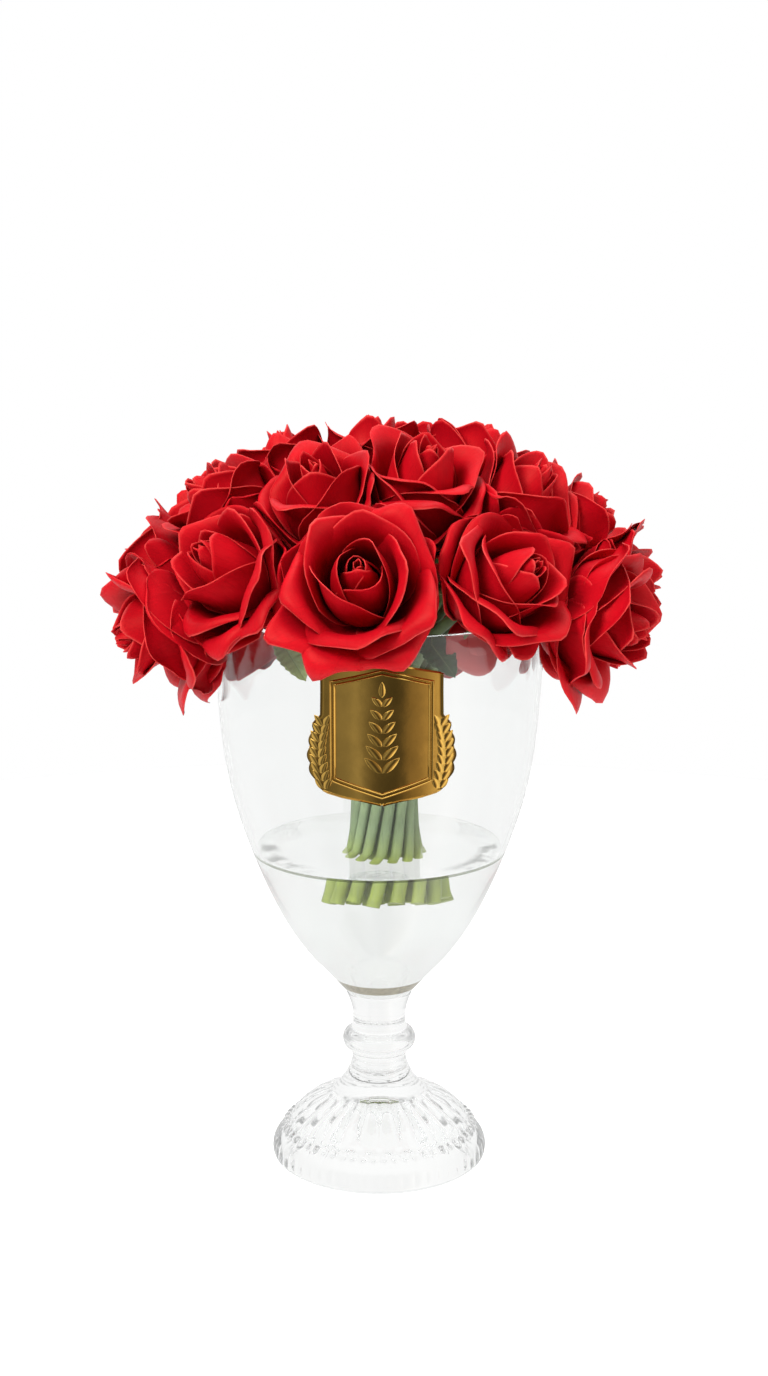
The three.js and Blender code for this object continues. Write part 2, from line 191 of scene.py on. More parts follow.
# Name, base, direction, the way its upper side faces, length, half width and youth from 0 to 1
LEAVES = [
    ("leaf_right", (20, -46, 270), (0.45, -0.6, -0.45), (0, -0.75, 0.65), 26, 7.5, 0.0),
    ("leaf_left", (-46, -42, 270), (0.45, -0.5, -0.62), (-0.2, -0.8, 0.6), 26, 6.0, 1.0),
    ("leaf_back", (10, 52, 270), (0.35, 0.6, -0.75), (0, 0.8, 0.6), 31, 9.0, 0.2),
]
LEAF_TEETH = 9

# The right half of the plaque, and of the panel inside its lines, as (distance round the bowl, height)
PLAQUE_OUTLINE = [
    (0.6, 198.0), (10.0, 200.2), (19.0, 201.6), (26.6, 203.6), (31.6, 209.0), (34.0, 216.0),
    (33.8, 224.0), (31.4, 234.0), (28.0, 239.0), (27.8, 250.0), (27.8, 257.7), (14.0, 260.6), (0.6, 263.0),
]
PLAQUE_PANEL = [(0.0, 201.0), (23.0, 208.8), (23.0, 254.6), (0.0, 260.2)]
PLAQUE_AZIMUTH = 1.1
PLAQUE_COLUMNS = 90
PLAQUE_ROWS = 128
# Steps along each straight stretch of a line, and the space between the two lines
LINE_STEPS = 20
LINE_SPACE = 1.7

# ---- The photograph's camera ---------------------------------------------------------------------

CAMERA_PLACE = (2.35, -1080.0, 467.0)
CAMERA_PITCH = 12.1
CAMERA_LENS = 60.96
SENSOR_HEIGHT = 36.0


# ---- Settings ------------------------------------------------------------------------------------

def length(name, description, default):
    return FloatProperty(name=name, description=description, default=default, unit="LENGTH", precision=5)


def colour(name, description, default):
    return FloatVectorProperty(name=name, description=description, default=default, subtype="COLOR",
                               size=3, min=0.0, max=1.0)


class VaseSettings(PropertyGroup):
    """Sizes and tints of the glass vase and the resin in it."""

    wall: length("Wall", "Thickness of the bowl's blown glass", 0.0024)
    level: length("Resin level", "Height of the resin's surface", 0.1585)
    sides: IntProperty(name="Sides", description="Facets round the bowl and the resin", default=144, min=48)
    flutes: IntProperty(name="Flutes", description="Flutes round the foot's dome", default=28, min=8)
    flute_depth: length("Flute depth", "Depth of the grooves between the flutes", 0.0006)
    beads: IntProperty(name="Beads", description="Beads in the ring round the foot", default=56, min=16)
    bead: length("Bead radius", "Radius of one bead", 0.0021)
    glass: colour("Glass", "Tint of the glass", (0.985, 0.992, 0.99))
    resin: colour("Resin", "Tint of the clear resin", (0.993, 0.997, 0.992))
    ior: FloatProperty(name="Index", description="Index of refraction of glass and resin", default=1.5,
                       min=1.0)


class RoseSettings(PropertyGroup):
    """Sizes and colours of the flowers."""

    thickness: length("Petal thickness", "Thickness of a petal", 0.00035)
    edge_roll: length("Edge roll", "Radius that the petals' side edges roll back to", 0.0068)
    ruffle: length("Ruffle", "Height of the waves along a petal's edge", 0.0011)
    tip: length("Tip", "How far the point stands out of a petal's edge", 0.0032)
    light: colour("Light red", "Petals where they are palest", (0.53, 0.0032, 0.0105))
    dark: colour("Dark red", "Petals near their base", (0.25, 0.0004, 0.0045))
    # The edge colour is a painted highlight along a petal's thin edge
    edge: colour("Edge", "The thin pale edge of a petal", (0.78, 0.075, 0.065))
    # Paler red for the petals that hang inside the bowl
    inside_bowl_red: colour("Faded", "Petals that hang inside the bowl", (0.62, 0.13, 0.13))
    seed: IntProperty(name="Seed", description="Start of the random variations", default=11)


class GreenSettings(PropertyGroup):
    """Sizes and colours of the stems, the leaves and the binding."""

    stem: length("Stem radius", "Radius of a stem", 0.0026)
    twist: FloatProperty(name="Twist", description="Turn of the bundle for each millimetre of height",
                         default=0.0117, unit="ROTATION")
    upper: colour("Upper stem", "Stems above the resin", (0.222, 0.304, 0.150))
    lower: colour("Lower stem", "Stems near their cut ends", (0.28, 0.345, 0.055))
    sepal: colour("Sepals", "Calyx and sepals", (0.18, 0.30, 0.09))
    leaf: colour("Leaf", "Upper side of a leaf", (0.03, 0.075, 0.026))
    young: colour("Young leaf", "Upper side of a young leaf", (0.26, 0.33, 0.10))
    vein: colour("Vein", "Veins of a leaf", (0.16, 0.25, 0.10))
    tape: colour("Tape", "Binding round the stems", (0.045, 0.095, 0.03))
    tie_tall: length("Binding height", "Height of the binding", 0.006)
    tie_thick: length("Binding thickness", "Thickness of the binding", 0.0012)


class PlaqueSettings(PropertyGroup):
    """Sizes and colours of the brass plaque."""

    thickness: length("Thickness", "Thickness of the sheet", 0.0009)
    relief: length("Relief", "Height of the raised border", 0.0005)
    brass: colour("Brass", "Polished brass", (0.72, 0.44, 0.098))
    tarnish: colour("Tarnish", "Duller brass in the hollows", (0.40, 0.23, 0.04))


class StageSettings(PropertyGroup):
    """The floor and the light."""

    floor: colour("Floor", "The pale floor", (0.9, 0.9, 0.9))
    key: FloatProperty(name="Key light", description="Power of the large light, upper left", default=26.0,
                       subtype="POWER", unit="POWER")
    top: FloatProperty(name="Top light", description="Power of the light overhead", default=12.0,
                       subtype="POWER", unit="POWER")
    fill: FloatProperty(name="Fill light", description="Power of the soft light on the right", default=5.0,
                        subtype="POWER", unit="POWER")


# ---- Small helpers -------------------------------------------------------------------------------

def place(azimuth, radius, height):
    """The point at an azimuth, a radius and a height."""
    angle = np.radians(azimuth)
    return np.stack([radius * np.sin(angle), -radius * np.cos(angle), height + 0 * angle], axis=-1)


def unit(vector):
    """A vector, or each row of an array, made one long."""
    vector = np.array(vector, float)
    return vector / np.linalg.norm(vector, axis=-1, keepdims=True)


def smoothstep(low, high, value):
    """0 below low, 1 above high, and smooth between them."""
    share = np.clip((value - low) / (high - low), 0, 1)
    return share * share * (3 - 2 * share)


def spline(points, count):
    """A smooth curve through some points, as count points."""
    points = np.array(points, float)
    at = np.linspace(0, len(points) - 1, count)
    start = np.minimum(at.astype(int), len(points) - 2)
    t = (at - start)[:, None]
    before, here, there, after = (points[np.clip(start + n, 0, len(points) - 1)] for n in (-1, 0, 1, 2))
    leave, arrive = (there - before) / 2, (after - here) / 2
    return here + t * (leave + t * (3 * (there - here) - 2 * leave - arrive
                                    + t * (2 * (here - there) + leave + arrive)))


def hump(value, width):
    """1 at 0, falling softly to nothing past the width."""
    return np.exp(-((value / width) ** 2))


def bowl_radius(height):
    """Radius of the bowl's outside at a height."""
    curve = spline(BOWL_OUTLINE, 200)
    return np.interp(height, curve[:, 1], curve[:, 0])


def deselect():
    bpy.ops.object.select_all(action="DESELECT")


def pick(piece):
    """Makes one object the only selected and active one."""
    deselect()
    piece.select_set(True)
    bpy.context.view_layer.objects.active = piece


def places(mesh):
    """A mesh's points, one row each, in metres."""
    co = np.empty(len(mesh.vertices) * 3, np.float32)
    mesh.vertices.foreach_get("co", co)
    return co.reshape(-1, 3).astype(float)


def set_places(mesh, points):
    """Moves a mesh's points. They are in metres."""
    mesh.vertices.foreach_set("co", np.ascontiguousarray(points, np.float32).ravel())
    mesh.update()


def new_grid(columns, rows, height=0.0):
    """A flat square from -1 to 1, cut into columns and rows, and the places of its points."""
    deselect()
    bpy.ops.mesh.primitive_grid_add(x_subdivisions=columns, y_subdivisions=rows, size=2,
                                    location=(0, 0, height), calc_uvs=True)
    bpy.ops.object.transform_apply(location=True)
    grid = bpy.context.object
    return grid, places(grid.data)


def join(pieces, name):
    """Joins the objects into the first of them."""
    deselect()
    for piece in pieces:
        piece.select_set(True)
    bpy.context.view_layer.objects.active = pieces[0]
    bpy.ops.object.join()
    pieces[0].name = name
    pieces[0].data.name = name
    return pieces[0]


def solidify(piece, thickness, offset=0.0):
    """Gives an open sheet its thickness."""
    pick(piece)
    wall = piece.modifiers.new("Wall", "SOLIDIFY")
    wall.thickness = thickness
    wall.offset = offset
    wall.use_even_offset = False
    bpy.ops.object.modifier_apply(modifier=wall.name)


def smooth(piece, degrees=180.0):
    """Shades a piece smooth, but for edges sharper than an angle."""
    pick(piece)
    if degrees >= 180:
        bpy.ops.object.shade_smooth()
    else:
        bpy.ops.object.shade_smooth_by_angle(angle=math.radians(degrees))


def outward(piece):
    """Makes all faces of a closed shell point outwards."""
    pick(piece)
    bpy.ops.object.mode_set(mode="EDIT")
    bpy.ops.mesh.select_all(action="SELECT")
    bpy.ops.mesh.normals_make_consistent(inside=False)
    bpy.ops.object.mode_set(mode="OBJECT")


def finish_piece(piece, material, slot, *nodes):
    """Gives a piece its material and sets it in the frame."""
    piece.data.materials.clear()
    piece.data.materials.append(material)
    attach(piece, BODY)
    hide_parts(*nodes)


def revolve(name, rings, sides):
    """A closed shell of (radius, height) rings: a disc is extruded and resized ring by ring.

    The first and the last ring are points on the axis.
    """
    deselect()
    radius, height = rings[1]
    bpy.ops.mesh.primitive_circle_add(vertices=sides, radius=radius * MM, fill_type="TRIFAN",
                                      location=(0, 0, height * MM))
    shell = bpy.context.object
    shell.name = shell.data.name = name
    bpy.ops.object.transform_apply(location=True)
    points = places(shell.data)
    points[np.hypot(points[:, 0], points[:, 1]) < radius * MM / 2, 2] = rings[0][1] * MM
    set_places(shell.data, points)
    bpy.ops.object.mode_set(mode="EDIT")
    bpy.ops.mesh.select_mode(type="EDGE")
    bpy.ops.mesh.select_all(action="DESELECT")
    bpy.ops.mesh.select_non_manifold(use_wire=False, use_multi_face=False, use_non_contiguous=False,
                                     use_verts=False)
    for next_radius, next_height in rings[2:-1]:
        rise = (next_height - height) * MM
        share = next_radius / radius
        bpy.ops.mesh.extrude_edges_move(TRANSFORM_OT_translate={"value": (0, 0, rise)})
        bpy.ops.transform.resize(value=(share, share, 1), center_override=(0, 0, next_height * MM))
        radius, height = next_radius, next_height
    bpy.ops.mesh.extrude_edges_move(TRANSFORM_OT_translate={"value": (0, 0, (rings[-1][1] - height) * MM)})
    bpy.ops.mesh.merge(type="CENTER")
    bpy.ops.object.mode_set(mode="OBJECT")
    outward(shell)
    return shell


# ---- Node helpers and the effects that materials share -------------------------------------------

def rgba(colour, share=1.0):
    """A colour, or a share of it, as a socket takes it."""
    return (*(c * share for c in colour), 1.0)


class Nodes:
    """Adds nodes to one shader tree."""

    def __init__(self, tree):
        self.tree = tree

    def add(self, kind, settings=None, **inputs):
        """A node, its properties set, and its inputs linked or set by name, or by i and their place."""
        made = self.tree.nodes.new("ShaderNode" + kind)
        for key, value in (settings or {}).items():
            setattr(made, key, value)
        for key, value in inputs.items():
            socket = made.inputs[int(key[1:]) if key[1:].isdigit() else key.replace("_", " ")]
            if isinstance(value, bpy.types.NodeSocket):
                self.tree.links.new(value, socket)
            else:
                socket.default_value = value
        return made

    def maths(self, operation, *values):
        numbered = {f"i{k}": value for k, value in enumerate(values)}
        return self.add("Math", {"operation": operation}, **numbered).outputs[0]

    def times(self, first, second):
        return self.maths("MULTIPLY", first, second)

    def less(self, first, second):
        return self.maths("SUBTRACT", first, second)

    def step(self, value, low, high):
        """0 below low, 1 above high, and smooth between them."""
        return self.add("MapRange", {"interpolation_type": "SMOOTHSTEP"}, Value=value, From_Min=low,
                        From_Max=high).outputs["Result"]

    def mix(self, share, first, second):
        """Sockets 6 and 7 of the mix node are its two colours."""
        return self.add("Mix", {"data_type": "RGBA"}, i0=share, i6=first, i7=second).outputs[2]

    def noise(self, at, scale, detail=2.0, roughness=0.5):
        return self.add("TexNoise", Vector=at, Scale=scale, Detail=detail, Roughness=roughness).outputs["Fac"]

    def stretched(self, at, *scale):
        return self.add("Mapping", Vector=at, Scale=scale).outputs["Vector"]

    def place(self):
        return self.add("TexCoord").outputs["Object"]

    def parts(self, vector):
        return self.add("SeparateXYZ", Vector=vector).outputs

    def sheet_place(self):
        """Place on a petal or leaf: its UV, and how far it is from the midrib, from 0 to 1."""
        at = self.add("UVMap", {"uv_map": "UVMap"}).outputs["UV"]
        parts = self.parts(at)
        return at, self.maths("ABSOLUTE", self.maths("MULTIPLY_ADD", parts["X"], 2.0, -1.0)), parts["Y"]

    def attribute(self, name):
        return self.add("Attribute", {"attribute_name": name}).outputs["Fac"]

    def mottle(self, at, scale, colour, second_share):
        """A colour and a share of it in soft patches."""
        return self.add("Group", {"node_tree": mottle_group()}, Coordinates=at, Scale=scale,
                        First=rgba(colour), Second=rgba(colour, second_share)).outputs

    def grain(self, at, scale, roughness, spread):
        """Fine unevenness: a height and a roughness."""
        return self.add("Group", {"node_tree": grain_group()}, Coordinates=at, Scale=scale,
                        Roughness=roughness, Spread=spread).outputs

    def principled(self, height, strength, distance, **inputs):
        """A Principled BSDF with a bump."""
        normal = self.add("Bump", Height=height, Strength=strength, Distance=distance).outputs["Normal"]
        return self.add("BsdfPrincipled", Normal=normal, **inputs).outputs["BSDF"]

    def mix_shaders(self, share, first, second):
        return self.add("MixShader", i0=share, i1=first, i2=second).outputs["Shader"]


def new_group(name, inputs, outputs):
    """A node group: its nodes, the sockets of its input and those of its output."""
    group = bpy.data.node_groups.new(name, "ShaderNodeTree")
    for label, kind, default in inputs:
        socket = group.interface.new_socket(name=label, in_out="INPUT", socket_type="NodeSocket" + kind)
        if default is not None:
            socket.default_value = default
    for label, kind in outputs:
        group.interface.new_socket(name=label, in_out="OUTPUT", socket_type="NodeSocket" + kind)
    entry = group.nodes.new("NodeGroupInput")
    leave = group.nodes.new("NodeGroupOutput")
    return Nodes(group), entry.outputs, leave.inputs


def mottle_group():
    """Two colours in soft patches, and the patches as a mask."""
    if "mottle" in bpy.data.node_groups:
        return bpy.data.node_groups["mottle"]
    n, given, result = new_group(
        "mottle",
        [("Coordinates", "Vector", None), ("Scale", "Float", 100.0), ("First", "Color", (1, 1, 1, 1)),
         ("Second", "Color", (0, 0, 0, 1))],
        [("Colour", "Color"), ("Mask", "Float")],
    )
    mask = n.step(n.noise(given["Coordinates"], given["Scale"], 3.0, 0.55), 0.32, 0.68)
    n.tree.links.new(n.mix(mask, given["First"], given["Second"]), result["Colour"])
    n.tree.links.new(mask, result["Mask"])
    return n.tree


def grain_group():
    """Fine unevenness of a surface: a height for bump and a roughness round a mean."""
    if "grain" in bpy.data.node_groups:
        return bpy.data.node_groups["grain"]
    n, given, result = new_group(
        "grain",
        [("Coordinates", "Vector", None), ("Scale", "Float", 900.0), ("Roughness", "Float", 0.5),
         ("Spread", "Float", 0.1)],
        [("Height", "Float"), ("Roughness", "Float")],
    )
    at, scale = given["Coordinates"], given["Scale"]
    off_mean = n.less(n.noise(at, n.times(scale, 0.13)), 0.5)
    rough = n.maths("MULTIPLY_ADD", off_mean, given["Spread"], given["Roughness"])
    n.tree.links.new(n.noise(at, scale), result["Height"])
    n.tree.links.new(rough, result["Roughness"])
    return n.tree


def new_material(name):
    """An empty material and its nodes."""
    material = bpy.data.materials.new(name)
    material.use_nodes = True
    material.node_tree.nodes.clear()
    return material, Nodes(material.node_tree)


# ---- Materials -----------------------------------------------------------------------------------

# The thin lines on clear pieces are painted shade, at the water line and where the bowl sits on
# the foot: lowest and highest z, in metres, and colour. The water line is measured from the
# resin's level.
WATER_LINE_SHADE = (-0.0011, 0.0003, (0.2, 0.22, 0.16, 1.0))
SEAT_SHADE_LINE = (0.0885, 0.0938, (0.17, 0.14, 0.085, 1.0))
NO_LINE = (0.0, 0.0, (1.0, 1.0, 1.0, 1.0))
# Rays that have met this many faces of glass go straight on, and so does a share, low down and high
# up, of those that have met one fewer. Low down and high up lie between two heights, in metres.
BOWL_RAYS = (5.5, 1.0, 0.55)
FOOT_RAYS = (6.5, 0.5, 0.5)
LOW_DOWN = (0.13, 0.158)
# Colour of the painted grey reflections on the resin's top, and the radii where their ring
# starts, is full, fades and ends
MENISCUS_REFLECTION = (0.12, 0.125, 0.115, 1.0)
MENISCUS_REFLECTION_RING = (0.046, 0.052, 0.056, 0.0585)
# Heights between which the stems turn from their lower green to the upper one, and then to the
# sepals' green, and heights and radius under which a petal hangs inside the bowl, in metres
STEM_GREENS = (0.147, 0.172)
SEPAL_GREENS = (0.262, 0.285)
UNDER_RIM = (0.268, 0.274)
INSIDE_RADIUS = 0.0755
# Where the painted highlight on a petal's pale edge starts and is full, from 0 at its middle to 1
# at its edge
PETAL_EDGE_HIGHLIGHT = (0.968, 0.996)


def squared_radius(n, parts):
    """Square of the distance from the vase's axis."""
    return n.maths("MULTIPLY_ADD", parts["X"], parts["X"], n.times(parts["Y"], parts["Y"]))


def meniscus_reflections(n, at, faces):
    """Where painted reflections lie on the resin's top, by its edge left and right of the front."""
    parts = n.parts(at)
    from_axis = n.maths("SQRT", squared_radius(n, parts))
    start, full, fade, end = MENISCUS_REFLECTION_RING
    ring = n.less(n.step(from_axis, start, full), n.step(from_axis, fade, end))
    beside = n.maths("DIVIDE", n.maths("ABSOLUTE", parts["X"]), from_axis)
    amount = n.times(ring, n.step(beside, 0.5, 0.8))
    amount = n.times(amount, n.step(parts["Y"], 0.006, -0.004))
    amount = n.times(amount, n.step(n.noise(at, 95.0, 3.0), 0.38, 0.62))
    return n.times(amount, n.maths("GREATER_THAN", faces, 0.9))


def clear_material(name, tint, ior, rays, line):
    """Glass or resin with a thin line of painted shade round its outside, where it faces a little down."""
    material, n = new_material(name)
    at = n.place()
    height = n.parts(at)["Z"]
    low, high, dark = line
    surface = n.add("NewGeometry").outputs
    faces = n.parts(surface["True Normal"])["Z"]
    # The dark line is painted shade, on outside faces that look a little down, within a band of height
    on_shade_line = n.times(n.maths("GREATER_THAN", height, low), n.maths("LESS_THAN", height, high))
    outside = n.times(n.maths("LESS_THAN", faces, -0.05), n.less(1.0, surface["Backfacing"]))
    colour = n.mix(n.times(on_shade_line, outside), rgba(tint), dark)
    # Painted grey reflections on the resin's top, by its edge
    colour = n.mix(meniscus_reflections(n, at, faces), colour, MENISCUS_REFLECTION)
    body = n.principled(n.noise(at, 28.0, 1.0), 0.05, 0.002, Base_Color=colour, Roughness=0.0, IOR=ior,
                        Transmission_Weight=1.0)
    through = n.add("BsdfTransparent", Color=rgba(tint)).outputs["BSDF"]
    path = n.add("LightPath").outputs
    most, low_share, high_share = rays
    share = n.maths("MULTIPLY_ADD", n.step(height, *LOW_DOWN), high_share - low_share, low_share)
    share = n.times(share, n.maths("GREATER_THAN", path["Ray Depth"], most - 1.0))
    share = n.maths("MAXIMUM", share, n.maths("GREATER_THAN", path["Ray Depth"], most))
    straight = n.maths("MAXIMUM", path["Is Shadow Ray"], share)
    n.add("OutputMaterial", Surface=n.mix_shaders(straight, body, through))
    return material


def petal_material(look):
    """Satin red with fine veins along the petal, a darker base and a thin pale edge of painted highlight."""
    material, n = new_material("red_petals")
    at = n.place()
    on_petal, side, along = n.sheet_place()
    veins = n.noise(n.stretched(on_petal, 46.0, 3.0, 1.0), 1.0, 3.0)
    patches = n.mottle(at, 70.0, look.light, 0.84)
    deep = n.times(n.step(along, 0.1, 0.75), n.attribute("petal_tone"))
    red = n.mix(deep, rgba(look.dark), patches["Colour"])
    red = n.mix(n.times(n.step(veins, 0.52, 0.7), 0.22), red, rgba(look.dark))
    # The pale edge is a painted highlight where the petal's thin edge catches the light, in patches
    edge_highlight_share = n.maths("MULTIPLY_ADD", patches["Mask"], 0.5, 0.14)
    edge = n.times(n.step(n.maths("MAXIMUM", side, along), *PETAL_EDGE_HIGHLIGHT), edge_highlight_share)
    red = n.mix(edge, red, rgba(look.edge))
    parts = n.parts(at)
    under_rim = n.less(1.0, n.step(parts["Z"], *UNDER_RIM))
    in_bowl = n.times(under_rim, n.maths("LESS_THAN", squared_radius(n, parts), INSIDE_RADIUS ** 2))
    # Petals that hang inside the bowl are drawn in a paler red
    red = n.mix(in_bowl, red, rgba(look.inside_bowl_red))
    grain = n.grain(at, 1400.0, 0.47, 0.16)
    height = n.maths("MULTIPLY_ADD", veins, 0.9, n.times(grain["Height"], 0.35))
    shader = n.principled(height, 0.35, 0.0004, Base_Color=red, Roughness=grain["Roughness"],
                          Specular_IOR_Level=0.24, Specular_Tint=(1.0, 0.34, 0.24, 1.0))
    n.add("OutputMaterial", Surface=shader)
    return material


def stem_material(look):
    """Grey green above, yellow green towards the cut ends, with fine streaks along the stem."""
    material, n = new_material("green_stems")
    at = n.place()
    height = n.parts(at)["Z"]
    upper = n.mottle(at, 55.0, look.upper, 0.72)["Colour"]
    lower = n.mottle(at, 90.0, look.lower, 0.8)["Colour"]
    green = n.mix(n.step(height, *STEM_GREENS), lower, upper)
    green = n.mix(n.step(height, *SEPAL_GREENS), green, rgba(look.sepal))
    streaks = n.noise(n.stretched(at, 1.0, 1.0, 0.06), 900.0)
    green = n.mix(n.times(n.step(streaks, 0.5, 0.75), 0.35), green, rgba(look.upper, 0.55))
    grain = n.grain(at, 1500.0, 0.5, 0.2)
    bumps = n.maths("MULTIPLY_ADD", streaks, 0.8, n.times(grain["Height"], 0.4))
    shader = n.principled(bumps, 0.3, 0.0004, Base_Color=green, Roughness=grain["Roughness"],
                          Specular_IOR_Level=0.4)
    n.add("OutputMaterial", Surface=shader)
    return material


def leaf_material(look):
    """Dark waxy green with pale veins that leave the midrib at a slant."""
    material, n = new_material("green_leaves")
    at = n.place()
    _, side, along = n.sheet_place()
    slanted = n.less(along, n.times(side, 0.28))
    wave = n.maths("ABSOLUTE", n.maths("SINE", n.times(slanted, math.pi * LEAF_TEETH)))
    side_veins = n.less(1.0, n.step(wave, 0.0, 0.22))
    midrib = n.less(1.0, n.step(side, 0.02, 0.07))
    veins = n.maths("MAXIMUM", midrib, n.times(side_veins, 0.6))
    green = n.mottle(at, 120.0, look.leaf, 1.7)["Colour"]
    green = n.mix(n.attribute("youth"), green, rgba(look.young))
    green = n.mix(n.times(veins, 0.7), green, rgba(look.vein))
    grain = n.grain(at, 1600.0, 0.42, 0.2)
    height = n.maths("MULTIPLY_ADD", veins, -0.8, n.times(grain["Height"], 0.3))
    shader = n.principled(height, 0.5, 0.0005, Base_Color=green, Roughness=grain["Roughness"],
                          Specular_IOR_Level=0.5)
    n.add("OutputMaterial", Surface=shader)
    return material


def tape_material(look):
    """Dark green crepe tape: fine wrinkles across it."""
    material, n = new_material("binding_tape")
    at = n.place()
    wrinkles = n.noise(n.stretched(at, 1.0, 1.0, 0.25), 1400.0)
    grain = n.grain(at, 2200.0, 0.7, 0.15)
    height = n.maths("ADD", wrinkles, n.times(grain["Height"], 0.3))
    shader = n.principled(height, 0.6, 0.0006, Base_Color=n.mottle(at, 260.0, look.tape, 1.8)["Colour"],
                          Roughness=grain["Roughness"])
    n.add("OutputMaterial", Surface=shader)
    return material


def brass_material(look):
    """Polished brass with soft tarnish and faint polishing marks."""
    material, n = new_material("polished_brass")
    at = n.place()
    hollow = n.attribute("hollow")
    gold = n.mix(n.times(hollow, 0.8), n.mottle(at, 75.0, look.brass, 0.86)["Colour"], rgba(look.tarnish))
    grain = n.grain(at, 700.0, 0.13, 0.14)
    height = n.maths("MULTIPLY_ADD", n.noise(at, 60.0), 1.0, n.times(grain["Height"], 0.05))
    shader = n.principled(height, 0.12, 0.002, Base_Color=gold, Metallic=1.0,
                          Roughness=n.maths("MULTIPLY_ADD", hollow, 0.16, grain["Roughness"]))
    n.add("OutputMaterial", Surface=shader)
    return material


# ---- Vase and resin ------------------------------------------------------------------------------

def inset(curve, amount):
    """A curve moved in towards the axis, square to its slope."""
    slope = unit(np.gradient(curve, axis=0))
    return np.stack([curve[:, 0] - slope[:, 1] * amount, curve[:, 1] + slope[:, 0] * amount], axis=-1)


def inner_wall(amount, low):
    """The inside of the bowl from a height upwards."""
    inside = inset(spline(BOWL_OUTLINE, BOWL_RINGS), amount)
    return inside[inside[:, 1] > low]


def build_bowl(settings):
    """The bowl from its seat up the outside, over the rounded rim and down the inside."""
    wall = settings.wall / MM
    outside = spline(BOWL_OUTLINE, BOWL_RINGS)
    inside = inner_wall(wall, FLOOR_CURVE[0][1] + 1.5)[::-1]
    half = (outside[-1, 0] - inside[0, 0]) / 2
    turn = np.linspace(0, math.pi, RIM_STEPS + 2)[1:-1]
    rim = np.stack([outside[-1, 0] - half + half * np.cos(turn), RIM_HEIGHT + half * 0.6 * np.sin(turn)], -1)
    inner_rings = [(inside[0, 0], RIM_HEIGHT), *inside[1:], *FLOOR_CURVE, (0.0, BOWL_FLOOR)]
    bowl = revolve("glass_bowl", [*BOWL_SEAT, *outside, *rim, *inner_rings], settings.sides)
    smooth(bowl)
    return bowl


def foot_relief(points, settings):
    """Presses the flutes, the beads and the brim's ribs into the foot's outside, not its underside."""
    flat = points / MM
    radius = np.hypot(flat[:, 0], flat[:, 1])
    angle = np.arctan2(flat[:, 1], flat[:, 0])
    height = flat[:, 2]
    under = height < np.interp(radius, [0, 24, 36.5, 42.6, 44.4], [31.4, 25.2, 16.2, 6.6, 0.8])
    top = ~under
    lobe = np.abs(np.sin(angle * settings.flutes / 2))
    on_dome = smoothstep(FLUTES_START, FLUTES_FULL, radius) * top * (height < 40)
    on_dome = on_dome * (1 - smoothstep(FLUTES_FADE, FLUTES_END, radius))
    groove = settings.flute_depth / MM * (1 - lobe) ** 1.7 * on_dome
    swell = FLUTE_SWELL * lobe * np.sin(np.clip((radius - 24) / 19, 0, 1) * math.pi) * on_dome
    bead = settings.bead / MM
    pitch = 2 * math.pi / settings.beads
    along = (np.mod(angle, pitch) - pitch / 2) * BEAD_CENTRE[0]
    across = np.hypot(radius - BEAD_CENTRE[0], height - BEAD_CENTRE[1])
    ball = np.sqrt(np.clip(1 - (along / (bead * 1.16)) ** 2 - (across / bead) ** 2, 0, 1)) * bead * top
    rib = hump(height - BRIM_RIBS_AT, 2.6) * (radius > 50.5)
    ribs = 0.5 * rib * (np.abs(np.sin(angle * settings.beads / 2)) ** 0.7 - 1)
    out = np.stack([np.cos(angle), np.sin(angle)], axis=-1)
    flat[:, 2] += (swell - groove) * 0.7 + ball * BEAD_PROUD
    flat[:, :2] += out * ((swell - groove) * 0.5 + ball * BEAD_PROUD + ribs)[:, None]
    return flat * MM


def build_foot(settings):
    """The foot from its top down the neck and the dome, and in under the brim to the hollow."""
    curves = (FOOT_NECK, FOOT_DOME, FOOT_BRIM, FOOT_UNDERSIDE)
    neck, dome, brim, hollow = (spline(curve, steps) for curve, steps in zip(curves, FOOT_STEPS))
    rings = [*FOOT_TOP[:-1], *neck, *dome[1:], *brim[1:], *hollow[:-1], (0.0, hollow[-1][1])]
    foot = revolve("glass_foot", rings, settings.flutes * FLUTE_POINTS)
    set_places(foot.data, foot_relief(places(foot.data), settings))
    smooth(foot)
    return foot


def build_resin(settings):
    """The resin's side stands a little inside the glass, so that no film of air shows between them."""
    level = settings.level / MM
    wall = settings.wall / MM - RESIN_OVERLAP
    side = inner_wall(wall, FLOOR_CURVE[0][1] + 1.5)
    side = side[side[:, 1] < level - 0.8]
    edge = bowl_radius(level) - wall * 1.12
    floor = [(r + RESIN_OVERLAP * 0.6, z - RESIN_OVERLAP * 0.6) for r, z in reversed(FLOOR_CURVE)]
    meniscus = [(edge, level + 0.5), (edge - 0.9, level + 0.15), (edge - 2.2, level), (edge * 0.5, level)]
    rings = [(0.0, BOWL_FLOOR - RESIN_OVERLAP), *floor, *side, *meniscus, (0.0, level)]
    resin = revolve("clear_resin", rings, settings.sides)
    smooth(resin, 50)
    return resin


# ---- Roses ---------------------------------------------------------------------------------------

